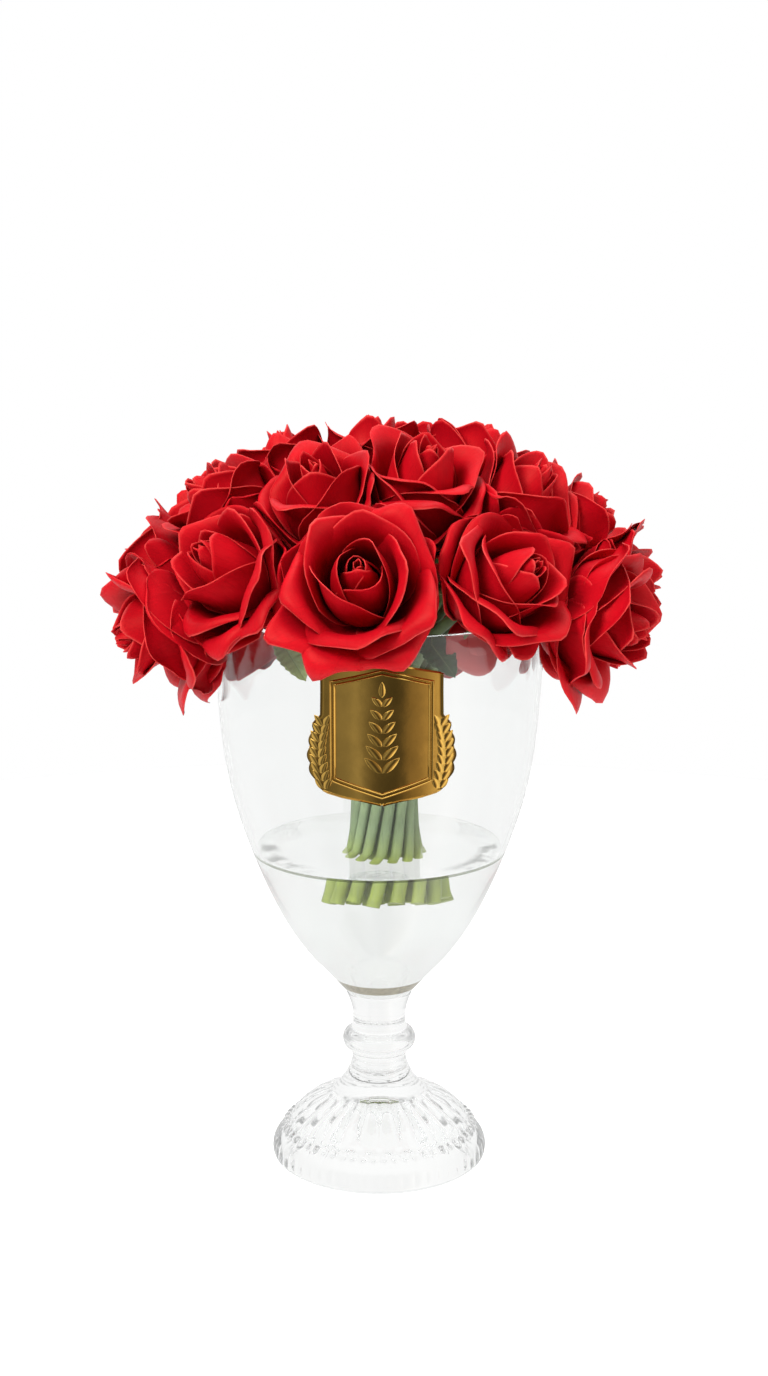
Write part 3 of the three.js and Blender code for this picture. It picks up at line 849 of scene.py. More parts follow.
def rose_places():
    """Each rose's middle, the way it faces, its three axes, and its ring and slot in the bundle."""
    roses = []
    for ring, rows in enumerate((INNER_ROSES, MIDDLE_ROSES, OUTER_ROSES)):
        step = 360 / len(rows)
        turn = sum(row[0] - i * step for i, row in enumerate(rows)) / len(rows)
        for i, (azimuth, from_top, reach) in enumerate(rows):
            angle = math.radians(from_top)
            middle = place(azimuth, DOME_RADIUS * reach * math.sin(angle),
                           DOME_HEIGHT + DOME_RISE * reach * math.cos(angle))
            tilt = math.radians(from_top + NOD_RATE * max(0.0, from_top - NOD_FROM))
            facing = place(azimuth, math.sin(tilt), math.cos(tilt))
            down = unit(np.array([0, 0, -1.0]) + facing * facing[2])
            roses.append({"middle": middle, "facing": facing, "from_top": from_top,
                          "axes": np.stack([down, np.cross(facing, down), facing]),
                          "ring": RING_RADII[ring], "slot": turn + i * step})
    return roses


def petal_sheets(count):
    """A stack of flat grids, one for each petal: a grid's height in the stack is the petal's number."""
    return join([new_grid(PETAL_GRID, PETAL_GRID, k)[0] for k in range(count)], "petal_sheets")


def petal_line(slopes, long, base):
    """The middle line of a petal seen from the side: radius, height and slope at even steps."""
    t = np.linspace(0, 1.1, 67)
    slope = np.radians(np.interp(t, np.linspace(0, 1, 5), slopes))
    step = long * (t[1] - t[0])
    middle = (slope[1:] + slope[:-1]) / 2
    radius = base + np.concatenate([[0], np.cumsum(np.cos(middle))]) * step
    height = PETAL_BASE + np.concatenate([[0], np.cumsum(np.sin(middle))]) * step
    return t, radius, height, slope


def roll_back(side, along, wide, long, radius):
    """Rolls both upper corners of a flat petal back about the lines from its flanks to its tip.

    Gives the new places across and along the petal, and how far back each point has gone.
    """
    low = np.array([ROLL_FLANK[0] * wide, ROLL_FLANK[1] * long])
    top = np.array([ROLL_TIP[0] * wide, ROLL_TIP[1] * long])
    line = unit(top - low)
    across, up = line[1], -line[0]
    past = (np.abs(side) - low[0]) * across + (along - low[1]) * up
    past = (past + np.hypot(past, ROLL_START)) / 2
    curl = ROLL_LIMIT * np.tanh(past / radius / ROLL_LIMIT)
    pulled = past - np.sin(curl) * radius
    return side - np.sign(side) * pulled * across, along - pulled * up, (1 - np.cos(curl)) * radius


def turned(out, side, up, angle):
    """Points turned about the flower's own axis."""
    cos, sin = math.cos(angle), math.sin(angle)
    return np.stack([out * cos - side * sin, out * sin + side * cos, up], axis=-1)


def whorl_row(whorl):
    """The row of WHORLS for a whorl that may lie between two of them."""
    low = min(int(whorl), SKIRT - 1)
    part = whorl - low
    return [np.array(WHORLS[low][n], float) * (1 - part) + np.array(WHORLS[low + 1][n], float) * part
            for n in range(1, 8)]


def petal_points(u, v, whorl, look, draw, inside=False):
    """Places of one petal's grid in the rose's own frame, with the petal's middle on +X.

    u runs across the petal from -1 to 1, and v along it from 0 at its base to 1. The petal is cut to
    its outline and rolled back while flat, then ruffled and cupped, and last bent to its slopes and
    round the flower.
    """
    slopes, long, wide, base, bend, roll, corner = whorl_row(whorl)
    if inside:
        slopes, long, bend = np.array(INSIDE_SLOPES, float), INSIDE_LENGTH, 1.5
    open_share = min(whorl / SKIRT * 2, 1)
    slopes = slopes + draw.normal(0, 3.0, 5) * (0.3 + 0.7 * open_share) * np.linspace(0.2, 1, 5)
    slopes[4] += draw.normal(0, 20) * open_share
    long = long * draw.uniform(0.95, 1.04)
    wide = wide * draw.uniform(0.93, 1.05)
    tip = look.tip / MM * draw.uniform(0.5, 1.2)
    off_middle = u - draw.uniform(-0.12, 0.12)
    far = 1 - corner * np.abs(off_middle) ** 1.9 + tip / long * hump(off_middle, 0.2)
    width = wide * (0.24 + 0.76 * np.sin(math.pi / 2 * np.clip(v / 0.62, 0, 1)) ** 0.9)
    radius = look.edge_roll / MM / max(float(roll) * draw.uniform(0.75, 1.25), 0.02)
    side, along, back = roll_back(u * width, v * far * long, wide, long, radius)
    phase = draw.uniform(0, 2 * math.pi)
    ruffle = look.ruffle / MM * (0.25 + 0.75 * open_share)
    back = back + ruffle * v ** 2.5 * (np.sin(3.4 * u + phase) + 0.6 * np.sin(7.1 * u + 2.3 * phase))
    back = back + np.abs(off_middle) ** 1.5 * 0.9 * open_share * np.sin(v * math.pi)
    back = back - 1.5 * u * (0.35 + 0.65 * v) * (0.3 + 0.7 * open_share)
    t, radii, heights, slope_at = petal_line(slopes, long, float(base))
    radius, height, slope = (np.interp(along / long, t, values) for values in (radii, heights, slope_at))
    around = np.maximum(radius, 1.0) * float(bend)
    angle = side / around
    out = around + back * np.sin(slope)
    return np.stack([radius - around + out * np.cos(angle), out * np.sin(angle),
                     height - back * np.cos(slope)], axis=-1)


def rose_whorls(draw):
    """The whorl of each petal, counted in whorls from the bud."""
    stages = [number + draw.uniform(-0.22, 0.22) * (number > 1)
              for number, row in enumerate(WHORLS) for _ in range(row[0])]
    return np.clip(stages, 0, SKIRT - 0.8)


def flower(rose, number, sheet_points, look):
    """All petals of one rose, in the frame of the model, and a tone for each point."""
    draw = np.random.default_rng(look.seed * 1000 + number)
    stages = rose_whorls(draw)
    bloom, spin = draw.uniform(-0.25, 0.2), draw.uniform(0, 360)
    bloom, spin = POSED.get(number, (bloom, spin))
    down, across, _ = rose["axes"]
    index = np.rint(sheet_points[:, 2]).astype(int)
    points = np.empty((len(index), 3))
    tone = np.empty(len(index))
    for k, stage in enumerate(stages):
        mine = index == k
        u = np.sign(sheet_points[mine, 0]) * np.abs(sheet_points[mine, 0]) ** 0.9
        v = 1 - (1 - (sheet_points[mine, 1] + 1) / 2) ** 1.12
        azimuth = math.radians(spin + k * GOLDEN_ANGLE)
        inside = number in RIM_ROSES and k >= len(stages) - INSIDE_PETALS
        hang = 0.0
        if inside:
            azimuth = math.radians(RIM_ROSES[number] + INSIDE_SPREAD * (k - len(stages) + 1.5))
        elif rose["from_top"] > SKIRT_FROM and stage > SKIRT - 2.4:
            towards = down * math.cos(azimuth) + across * math.sin(azimuth)
            hang = HANG_MOST * min(1.0, max(0.0, HANG_BACK * towards[1] - towards[2])) ** 1.5
        where = np.clip(stage + bloom * min(stage / 3, 1) + hang, 0, SKIRT)
        shape = petal_points(u, v, where, look, draw, inside)
        points[mine] = rose["middle"] + turned(*shape.T, azimuth) @ rose["axes"]
        tone[mine] = draw.uniform(0.8, 1.0)
    return points, tone


def border_wave(points, first, second):
    """How far the border between two roses stands off the halfway plane: it waves a little."""
    wave = 2.2 * np.sin(points @ np.array([0.11, 0.07, 0.13]) + first * 1.7 + second * 2.9)
    return wave + 1.2 * math.sin(first * 3.1 + second * 5.3)


def press(points, rose, number, roses):
    """Petals that reach past the border to a neighbour flatten against it, and stand up a little."""
    reach = BORDER_SOFT - BORDER_GAP
    for other_number, other in enumerate(roses):
        apart = other["middle"] - rose["middle"]
        distance = np.linalg.norm(apart)
        if other is rose or distance > TOUCHING:
            continue
        towards = apart / distance
        first, second = sorted((number, other_number))
        sign = 1 if number == first else -1
        past = (points - rose["middle"]) @ towards - distance / 2 - sign * border_wave(points, first, second)
        over = np.maximum(past + BORDER_SOFT, 0)
        kept = reach * (1 - np.exp(-over / reach))
        change = np.where(over > 0, over - kept, 0)
        points = points - change[:, None] * towards + PRESSED_UP * change[:, None] * rose["facing"]
    return points


def rest_on_rim(points):
    """Petals drape over the rim and hang clear of the glass outside."""
    radius = np.hypot(points[:, 0], points[:, 1])
    rim_middle = bowl_radius(RIM_HEIGHT) - 1.2
    tent = RIM_HEIGHT + 2.6 - 2.6 * np.maximum(np.abs(radius - rim_middle) - 3.2, 0)
    near = np.abs(radius - rim_middle) < 9
    height = points[:, 2]
    height = np.where(near & (height < tent) & (height > RIM_HEIGHT - 14), tent, height)
    radius_out = bowl_radius(np.clip(height, 90, RIM_HEIGHT)) + 1.2
    outside = (radius > rim_middle) & (height < RIM_HEIGHT + 2)
    grow = np.where(outside & (radius < radius_out), radius_out / np.maximum(radius, 1), 1)
    return np.stack([points[:, 0] * grow, points[:, 1] * grow, height], axis=-1)


def add_values(mesh, name, values):
    """Gives each point of a mesh a number that its material reads."""
    layer = mesh.attributes.new(name, "FLOAT", "POINT")
    layer.data.foreach_set("value", np.ascontiguousarray(values, np.float32))


def build_rose(sheets, number, roses, look, sheet_points):
    """One rose, made from a copy of the stack of sheets."""
    rose = sheets.copy()
    rose.data = sheets.data.copy()
    rose.name = rose.data.name = f"flower_{number + 1:02d}"
    bpy.context.scene.collection.objects.link(rose)
    points, tone = flower(roses[number], number, sheet_points, look)
    points = rest_on_rim(press(points, roses[number], number, roses))
    set_places(rose.data, points * MM)
    add_values(rose.data, "petal_tone", tone)
    solidify(rose, look.thickness)
    smooth(rose)
    return rose


# ---- Stems, binding and leaves -------------------------------------------------------------------

def bundle_point(rose, height, twist):
    """Place of a stem in the twisted bundle at a height."""
    below = max(0.0, WAIST_HEIGHT - height) / (WAIST_HEIGHT - STEM_END)
    above = max(0.0, height - WAIST_HEIGHT) / (TIE_HEIGHT - WAIST_HEIGHT)
    spread = 1 + END_FLARE * below ** 1.5 + TIE_FLARE * above ** 2
    turn = math.degrees(twist * (height - TIE_HEIGHT))
    return place(rose["slot"] + turn, rose["ring"] * spread, height) + BUNDLE_MIDDLE


def stem_line(rose, number, twist):
    """The stem's middle line from its cut end to just inside the flower."""
    end = STEM_END + STEM_END_SPREAD * math.sin(STEM_END_PHASE * number)
    bundled = [bundle_point(rose, height, twist) for height in (end, *BUNDLE_HEIGHTS)]
    bound = bundle_point(rose, TIE_HEIGHT, twist)
    calyx = rose["middle"] - rose["facing"] * HEAD_LENGTH
    handles = [bound, bound + [0, 0, BEND_RISE], calyx - rose["facing"] * BEND_REACH, calyx]
    t = np.linspace(0, 1, 8)[:, None]
    bend = sum(math.comb(3, k) * t ** k * (1 - t) ** (3 - k) * handles[k] for k in range(4))
    inside = calyx + rose["facing"] * 7
    return spline([*bundled, *bend, inside], 54)


def build_stem(rose, number, green):
    """A round stem that swells into the calyx, with five sepals round it."""
    line = stem_line(rose, number, green.twist)
    deselect()
    bpy.ops.curve.primitive_nurbs_path_add()
    stem = bpy.context.object
    curve = stem.data
    curve.splines.clear()
    path = curve.splines.new("POLY")
    path.points.add(len(line) - 1)
    along = np.concatenate([[0], np.cumsum(np.linalg.norm(np.diff(line, axis=0), axis=1))])
    from_top = along[-1] - along
    swell = 1 + 1.05 * hump(from_top - 7, 4.2) + 0.03 * np.sin(along * 0.21 + number)
    swell = swell + 0.14 * hump(along - 46 - 9 * math.sin(number * 1.9), 2.2)
    for point, at, radius in zip(path.points, line * MM, swell):
        point.co = (*at, 1.0)
        point.radius = radius
    curve.bevel_depth = green.stem
    curve.bevel_resolution = 2
    curve.use_fill_caps = True
    curve.twist_mode = "MINIMUM"
    pick(stem)
    bpy.ops.object.convert(target="MESH")
    stem = join([bpy.context.object, build_sepals(rose, number)], f"stem_{number + 1:02d}")
    smooth(stem, 60)
    return stem


def build_sepals(rose, number):
    """Five narrow sepals that leave the calyx and bend back."""
    draw = np.random.default_rng(SEPAL_SEED + number)
    made = []
    for k in range(5):
        sepal, grid = new_grid(2, 8)
        u, v = grid[:, 0], (grid[:, 1] + 1) / 2
        long = draw.uniform(19, 25)
        slopes = np.array([64, 40, 5, -35, -70]) + draw.normal(0, 9, 5)
        t, radii, heights, _ = petal_line(slopes, long, 3.6)
        radius = np.interp(v, t, radii)
        height = np.interp(v, t, heights) - 2.5
        half = 3.4 * (1 - v) ** 0.75 * (0.75 + 0.5 * np.sin(v * math.pi)) + 0.25
        azimuth = math.radians(draw.uniform(-9, 9) + k * 72 + number * 31)
        side = u * half
        shape = turned(radius - 0.09 * side ** 2, side, height, azimuth)
        set_places(sepal.data, (rose["middle"] + shape @ rose["axes"]) * MM)
        made.append(sepal)
    sepals = join(made, "sepals")
    solidify(sepals, 0.0006)
    return sepals


def build_tie(green):
    """Tape wound round the bundle: a torus pressed flat, with the edges of its turns showing."""
    inner = RING_RADII[2] * (1 + TIE_FLARE) + green.stem / MM + 0.6
    thick, tall = green.tie_thick / MM, green.tie_tall / MM
    deselect()
    bpy.ops.mesh.primitive_torus_add(major_segments=144, minor_segments=28, major_radius=1.0,
                                     minor_radius=0.4, generate_uvs=True)
    tie = bpy.context.object
    tie.name = tie.data.name = "stem_binding"
    points = places(tie.data)
    radius = np.hypot(points[:, 0], points[:, 1])
    azimuth = np.arctan2(points[:, 1], points[:, 0])
    out, up = (radius - 1.0) / 0.4, points[:, 2] / 0.4
    square = np.maximum(np.abs(out), np.abs(up))
    out, up = out / square * 0.96, up / square * 0.96
    turns = 0.16 * np.sin((up * 1.5 * math.pi) + azimuth) * (out > 0)
    radius = inner + thick * (0.5 + 0.5 * out) + turns
    height = TIE_HEIGHT + up * tall / 2 + 0.25 * np.sin(azimuth * 2 + 1)
    around = np.stack([radius * np.cos(azimuth), radius * np.sin(azimuth), height], axis=-1)
    set_places(tie.data, (around + BUNDLE_MIDDLE) * MM)
    outward(tie)
    smooth(tie, 50)
    return tie


def build_leaf(name, base, along, face, long, half_wide, youth):
    """A pointed leaf with a toothed edge, folded a little along its midrib."""
    leaf, grid = new_grid(14, 54)
    leaf.name = leaf.data.name = name
    u, v = grid[:, 0], (grid[:, 1] + 1) / 2
    saw = 1 - 0.13 * np.mod(v * LEAF_TEETH, 1) * (np.abs(u) > 0.85)
    blade = np.clip(np.sin(math.pi * np.clip((v - 0.08) / 0.92, 0, 1) ** 0.78), 0, 1) ** 0.8
    half = np.where(v < 0.1, 0.7, 0.7 + (half_wide - 0.7) * blade) * saw * (1 - 0.8 * smoothstep(0.94, 1, v))
    side = u * half
    waves = 0.35 * np.sin(v * LEAF_TEETH * 2 * math.pi - np.abs(u) * 3) * np.abs(u) * blade
    fold = 0.32 * np.abs(side) + waves
    bend = -0.006 * (v * long) ** 2
    x = unit(along)
    y = unit(np.cross(face, x))
    z = np.cross(x, y)
    points = np.array(base) + np.outer(v * long, x) + np.outer(side, y) + np.outer(fold + bend, z)
    set_places(leaf.data, points * MM)
    add_values(leaf.data, "youth", np.full(len(points), youth))
    solidify(leaf, 0.0004)
    smooth(leaf)
    return leaf


# ---- Plaque --------------------------------------------------------------------------------------

def on_bowl(across, height, proud):
    """A point at a distance round the front of the bowl, at a height, and proud of the glass."""
    radius = bowl_radius(height) + proud
    return place(PLAQUE_AZIMUTH + np.degrees(across / radius), radius, height)


def scallops(height):
    """The bulging sides are cut in small lobes, as the laurel leaves on them are."""
    inside = smoothstep(201, 206, height) * (1 - smoothstep(235, 239, height))
    return inside * (1.7 * np.abs(np.sin((height - 201) / 38 * 5 * math.pi)) - 1.0)


def panel_edges():
    """Corners of the panel, counterclockwise from the bottom, and the inward normals of its edges."""
    right = np.array(PLAQUE_PANEL)
    corners = np.concatenate([right, right[-2:0:-1] * (-1.0, 1.0)])
    edges = np.roll(corners, -1, 0) - corners
    return corners, np.stack([-edges[:, 1], edges[:, 0]], 1) / np.linalg.norm(edges, axis=1)[:, None]


def panel_line(inset, half_width, high, proud):
    """A raised line that runs round the panel, some way inside its outline."""
    corners, inwards = panel_edges()
    before = np.roll(inwards, 1, 0)
    mitre = (inwards + before) / (1 + (inwards * before).sum(1))[:, None]
    line, grid = new_grid(len(corners) * LINE_STEPS, 4)
    walk = (grid[:, 0] + 1) / 2 * len(corners)
    stops = np.arange(len(corners) + 1)
    offset = inset + half_width * grid[:, 1]
    across, height = (np.interp(walk, stops, np.append(corners[:, k], corners[0, k]))
                      + offset * np.interp(walk, stops, np.append(mitre[:, k], mitre[0, k])) for k in (0, 1))
    set_places(line.data, on_bowl(across, height, proud + high * (1 - grid[:, 1] ** 2)) * MM)
    pick(line)
    bpy.ops.object.mode_set(mode="EDIT")
    bpy.ops.mesh.select_all(action="SELECT")
    bpy.ops.mesh.remove_doubles(threshold=0.00001)
    bpy.ops.object.mode_set(mode="OBJECT")
    return line


def laurel_leaf(across, height, angle, long, wide, proud):
    """A small pointed leaf that lies on the plaque: four long faces and a ridge."""
    leaf, grid = new_grid(4, 6)
    u, v = grid[:, 0], (grid[:, 1] + 1) / 2
    half = wide / 2 * np.sin(math.pi * v ** 0.8) ** 0.8 + 0.04
    ridge = (1 - np.abs(u) ** 1.3) * np.sin(math.pi * v) ** 0.6 * 0.75 - 0.22 * hump(u, 0.2)
    along, side = v * long, u * half
    cos, sin = math.cos(math.radians(angle)), math.sin(math.radians(angle))
    set_places(leaf.data, on_bowl(across + along * sin + side * cos, height + along * cos - side * sin,
                                  proud + ridge) * MM)
    return leaf


def build_plaque(settings):
    """A bent sheet with a raised brim, two lines round its panel, and leaves on it and beside it."""
    plate, grid = new_grid(PLAQUE_COLUMNS, PLAQUE_ROWS)
    low, high = PLAQUE_OUTLINE[0][1], PLAQUE_OUTLINE[-1][1]
    height = low + (high - low) * (grid[:, 1] + 1) / 2
    halves, heights = zip(*PLAQUE_OUTLINE)
    half = np.interp(height, heights, halves) + scallops(height)
    across = grid[:, 0] * half
    proud = 0.35 + settings.thickness / MM
    brim = hump(half - np.abs(across), 0.8)
    set_places(plate.data, on_bowl(across, height, proud + brim * settings.relief / MM) * MM)
    corners, inwards = panel_edges()
    from_edge = ((np.stack([across, height], 1)[:, None] - corners) * inwards).sum(2).min(1)
    add_values(plate.data, "hollow", hump(from_edge - LINE_SPACE / 2, 0.6) + 0.35 * (from_edge < -0.8))
    solidify(plate, settings.thickness, -1.0)
    leaves = [panel_line(inset, 0.42, 0.55, proud) for inset in (0.0, LINE_SPACE)]
    for side in (-1, 1):
        for k in range(9):
            height = 204.5 + k * 3.7
            middle = side * (26.4 + 2.6 * math.sin(math.pi * k / 8))
            for lean in (-38, 38):
                leaves.append(laurel_leaf(middle, height, side * 4 + lean, 6.4, 3.0, proud))
    for k in range(6):
        for side in (-1, 1):
            leaves.append(laurel_leaf(0, 213 + k * 6.2, side * 48, 10.5 - k * 0.9, 3.6 - k * 0.2, proud))
    leaves.append(laurel_leaf(0, 248, 0, 7.0, 2.8, proud))
    spray = join(leaves, "spray")
    solidify(spray, 0.0003)
    plaque = join([plate, spray], "front_plaque")
    smooth(plaque, 40)
    return plaque


# ---- Operators -----------------------------------------------------------------------------------

class ROSES_OT_bowl(Operator):
    """Model the glass bowl"""

    bl_idname = "roses.bowl"
    bl_label = "Glass bowl"

    def execute(self, context):
        look = context.scene.roses_vase
        glass = clear_material("clear_glass", look.glass, look.ior, BOWL_RAYS, SEAT_SHADE_LINE)
        finish_piece(build_bowl(look), glass, "clear_glass", "vase_bowl")
        return {"FINISHED"}


class ROSES_OT_foot(Operator):
    """Model the pressed glass foot with its flutes and beads"""

    bl_idname = "roses.foot"
    bl_label = "Glass foot"

    def execute(self, context):
        look = context.scene.roses_vase
        glass = clear_material("pressed_glass", look.glass, look.ior, FOOT_RAYS, NO_LINE)
        finish_piece(build_foot(look), glass, "clear_glass", "vase_foot")
        return {"FINISHED"}


class ROSES_OT_resin(Operator):
    """Model the clear resin in the bowl"""

    bl_idname = "roses.resin"
    bl_label = "Resin"

    def execute(self, context):
        look = context.scene.roses_vase
        below, above, dark = WATER_LINE_SHADE
        line = (look.level + below, look.level + above, dark)
        resin = clear_material("clear_resin", look.resin, look.ior, BOWL_RAYS, line)
        finish_piece(build_resin(look), resin, "clear_resin", "resin_water")
        return {"FINISHED"}


class ROSES_OT_flowers(Operator):
    """Model the rose heads, petal by petal"""

    bl_idname = "roses.flowers"
    bl_label = "Roses"

    def execute(self, context):
        look = context.scene.roses_flowers
        roses = rose_places()
        sheets = petal_sheets(sum(row[0] for row in WHORLS))
        sheet_points = places(sheets.data)
        material = petal_material(look)
        for number in range(len(roses)):
            rose = build_rose(sheets, number, roses, look, sheet_points)
            finish_piece(rose, material, "red_petals", f"rose_head_{number + 1:02d}")
        bpy.data.objects.remove(sheets)
        return {"FINISHED"}


class ROSES_OT_stems(Operator):
    """Model the stems with their sepals"""

    bl_idname = "roses.stems"
    bl_label = "Stems"

    def execute(self, context):
        look = context.scene.roses_greens
        material = stem_material(look)
        for number, rose in enumerate(rose_places()):
            stem = build_stem(rose, number, look)
            finish_piece(stem, material, "green_stems", f"rose_stem_{number + 1:02d}")
        return {"FINISHED"}


class ROSES_OT_binding(Operator):
    """Model the tape that binds the stems"""

    bl_idname = "roses.binding"
    bl_label = "Binding"

    def execute(self, context):
        look = context.scene.roses_greens
        finish_piece(build_tie(look), tape_material(look), "binding_tape", "stem_tie")
        return {"FINISHED"}


class ROSES_OT_leaves(Operator):
    """Model the leaves under the roses"""

    bl_idname = "roses.leaves"
    bl_label = "Leaves"

    def execute(self, context):
        look = context.scene.roses_greens
        material = leaf_material(look)
        for name, *shape in LEAVES:
            finish_piece(build_leaf(f"{name}_blade", *shape), material, "green_leaves", name)
        return {"FINISHED"}


class ROSES_OT_plaque(Operator):
    """Model the brass plaque with its border and laurel leaves"""

    bl_idname = "roses.plaque"
    bl_label = "Plaque"

    def execute(self, context):
        look = context.scene.roses_plaque
        finish_piece(build_plaque(look), brass_material(look), "polished_brass", "brass_plaque")
        return {"FINISHED"}


class ROSES_OT_stage(Operator):
    """Set up the floor, the lights and the camera"""

    bl_idname = "roses.stage"
    bl_label = "Stage"

    def execute(self, context):
        look = context.scene.roses_stage
        build_floor(look)
        build_world()
        build_lights(look)
        build_camera()
        context.scene.view_settings.view_transform = "Standard"
        return {"FINISHED"}


# ---- Stage ---------------------------------------------------------------------------------------

SEEN_THROUGH_GLASS = (0.965, 0.965, 0.96, 1.0)
# Brightness of the room that mirrors see, by azimuth from the front, dark behind the camera with
# bright soft boxes at the sides, and how warm it is there
ROOM = [
    (-180, 0.85, 0), (-110, 0.9, 0), (-62, 0.75, 0), (-49, 0.16, 0), (-36, 0.2, 0), (-28, 0.31, 0),
    (-21, 0.33, 0), (-15.5, 0.46, 0), (-11, 0.28, 0.1), (-5, 0.19, 0.2), (1, 0.11, 0.2), (12, 0.08, 0.2),
    (17, 0.12, 0.5), (22, 0.3, 1), (28, 0.36, 1), (34, 0.5, 1), (44, 0.95, 0.6), (56, 1.6, 0.3),
    (75, 1.1, 0), (110, 0.85, 0), (180, 0.85, 0),
]
# The room above, the sides that glass shows, the light on matt surfaces, and the backdrop
OVERHEAD = (1.5, 1.5, 1.5, 1)
SIDEWAYS = (0.7, 0.7, 0.7, 1)
ON_MATT = (0.42, 0.42, 0.43, 1)
BACKDROP = (1, 1, 1, 1)
# Each light's place and size, in metres, and the place that they all face
LIGHTS = [("key", (-0.75, -1.05, 1.25), 0.7), ("top", (0.05, 0.0, 1.5), 0.9), ("fill", (1.1, -0.6, 0.6), 0.8)]
LIT_PLACE = (0.0, 0.0, 0.27)
FLOOR_RADIUS = 0.8


def in_glass(n):
    """1 for a ray that has passed into glass or resin."""
    path = n.add("LightPath").outputs
    passed = n.maths("GREATER_THAN", path["Transmission Depth"], 0.5)
    return n.maths("MAXIMUM", path["Is Transmission Ray"], passed)


def build_floor(look):
    deselect()
    bpy.ops.mesh.primitive_circle_add(vertices=96, radius=FLOOR_RADIUS, fill_type="NGON")
    floor = bpy.context.object
    floor.name = floor.data.name = "floor"
    floor.visible_glossy = False
    material, n = new_material("pale_floor")
    tone = n.mix(n.noise(n.place(), 3.0), rgba(look.floor), rgba(look.floor, 0.99))
    pale = n.add("BsdfPrincipled", Base_Color=tone, Roughness=0.9, Specular_IOR_Level=0.1,
                 Emission_Color=(1, 1, 1, 1), Emission_Strength=0.5).outputs["BSDF"]
    through_glass = n.add("Emission", Color=SEEN_THROUGH_GLASS).outputs["Emission"]
    n.add("OutputMaterial", Surface=n.mix_shaders(in_glass(n), pale, through_glass))
    floor.data.materials.append(material)


def build_world():
    """White to the camera and through the glass; a room with dark and bright sides to mirrors."""
    world = bpy.data.worlds.new("room")
    bpy.context.scene.world = world
    world.use_nodes = True
    world.node_tree.nodes.clear()
    n = Nodes(world.node_tree)
    parts = n.parts(n.add("TexCoord").outputs["Generated"])
    azimuth = n.maths("ARCTAN2", parts["X"], n.times(parts["Y"], -1.0))
    share = n.add("MapRange", Value=azimuth, From_Min=-math.pi, From_Max=math.pi).outputs["Result"]
    ramp = n.add("ValToRGB", Fac=share)
    stops = ramp.color_ramp.elements
    while len(stops) < len(ROOM):
        stops.new(0.5)
    for stop, (degrees, bright, warm) in zip(stops, ROOM):
        stop.position = (degrees + 180) / 360
        stop.color = (bright, bright * (1 - 0.16 * warm), bright * (1 - 0.3 * warm), 1)
    mirrored = n.mix(n.step(parts["Z"], 0.35, 0.8), ramp.outputs["Color"], OVERHEAD)
    through = n.mix(n.step(n.maths("ABSOLUTE", parts["X"]), 0.6, 1.0), SEEN_THROUGH_GLASS, SIDEWAYS)
    path = n.add("LightPath").outputs
    mirror = n.times(path["Is Glossy Ray"], n.less(1.0, in_glass(n)))
    seen = n.mix(path["Is Diffuse Ray"], n.mix(mirror, through, mirrored), ON_MATT)
    seen = n.mix(path["Is Camera Ray"], seen, BACKDROP)
    n.add("OutputWorld", Surface=n.add("Background", Color=seen, Strength=1.0).outputs["Background"])


def build_lights(look):
    """Soft lights that mirrors see once, and that glass doesn't show."""
    for name, where, size in LIGHTS:
        power = getattr(look, name)
        bpy.ops.object.light_add(type="AREA", location=where)
        light = bpy.context.object
        light.name = f"{name}_light"
        light.data.size = size
        light.data.energy = power
        light.visible_transmission = False
        light.data.use_nodes = True
        n = Nodes(light.data.node_tree)
        first = n.maths("LESS_THAN", n.add("LightPath").outputs["Glossy Depth"], 0.5)
        n.tree.links.new(first, n.tree.nodes["Emission"].inputs["Strength"])
        x, y, z = np.array(LIT_PLACE) - np.array(where)
        light.rotation_euler = (math.atan2(math.hypot(x, y), -z), 0, math.atan2(y, x) - math.pi / 2)


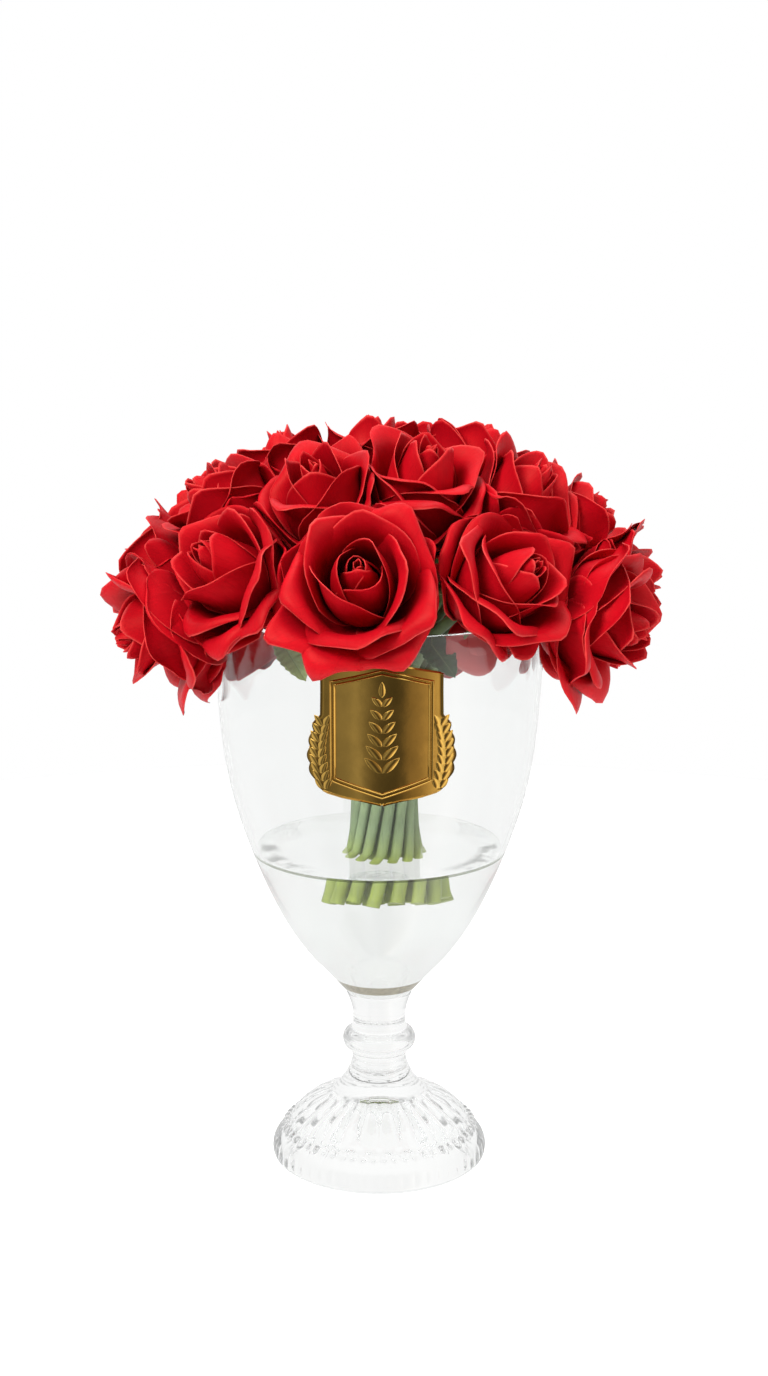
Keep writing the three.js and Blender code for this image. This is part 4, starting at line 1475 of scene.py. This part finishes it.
def build_camera():
    bpy.ops.object.camera_add(location=[c * MM for c in CAMERA_PLACE],
                              rotation=(math.radians(90 - CAMERA_PITCH), 0, 0))
    camera = bpy.context.object
    camera.name = "photo_camera"
    camera.data.sensor_fit = "VERTICAL"
    camera.data.sensor_height = SENSOR_HEIGHT
    camera.data.lens = CAMERA_LENS
    camera.data.dof.use_dof = False
    bpy.context.scene.camera = camera


# ---- Panel, registration and the run -------------------------------------------------------------

PIECES = (ROSES_OT_bowl, ROSES_OT_foot, ROSES_OT_resin, ROSES_OT_flowers, ROSES_OT_stems, ROSES_OT_binding,
          ROSES_OT_leaves, ROSES_OT_plaque, ROSES_OT_stage)
SETTINGS = {"roses_vase": VaseSettings, "roses_flowers": RoseSettings, "roses_greens": GreenSettings,
            "roses_plaque": PlaqueSettings, "roses_stage": StageSettings}


class ROSES_PT_panel(Panel):
    """One button for each kind of piece, over its settings"""

    bl_idname = "ROSES_PT_panel"
    bl_label = "Roses in a Vase"
    bl_space_type = "VIEW_3D"
    bl_region_type = "UI"
    bl_category = "Roses"

    def draw(self, context):
        for piece in PIECES:
            self.layout.operator(piece.bl_idname)
        for name in SETTINGS:
            box = self.layout.box()
            box.label(text=name.replace("_", " "))
            for key in getattr(context.scene, name).bl_rna.properties.keys():
                if key not in ("rna_type", "name"):
                    box.prop(getattr(context.scene, name), key)


def register():
    for kind in (*SETTINGS.values(), *PIECES, ROSES_PT_panel):
        bpy.utils.register_class(kind)
    for name, kind in SETTINGS.items():
        setattr(bpy.types.Scene, name, PointerProperty(type=kind))


def unregister():
    for name in SETTINGS:
        delattr(bpy.types.Scene, name)
    for kind in reversed((*SETTINGS.values(), *PIECES, ROSES_PT_panel)):
        bpy.utils.unregister_class(kind)


def main():
    register()
    bpy.ops.roses.stage()
    bpy.ops.roses.bowl()
    bpy.ops.roses.foot()
    bpy.ops.roses.resin()
    bpy.ops.roses.flowers()
    bpy.ops.roses.stems()
    bpy.ops.roses.binding()
    bpy.ops.roses.leaves()
    bpy.ops.roses.plaque()


if __name__ == "__main__":
    main()
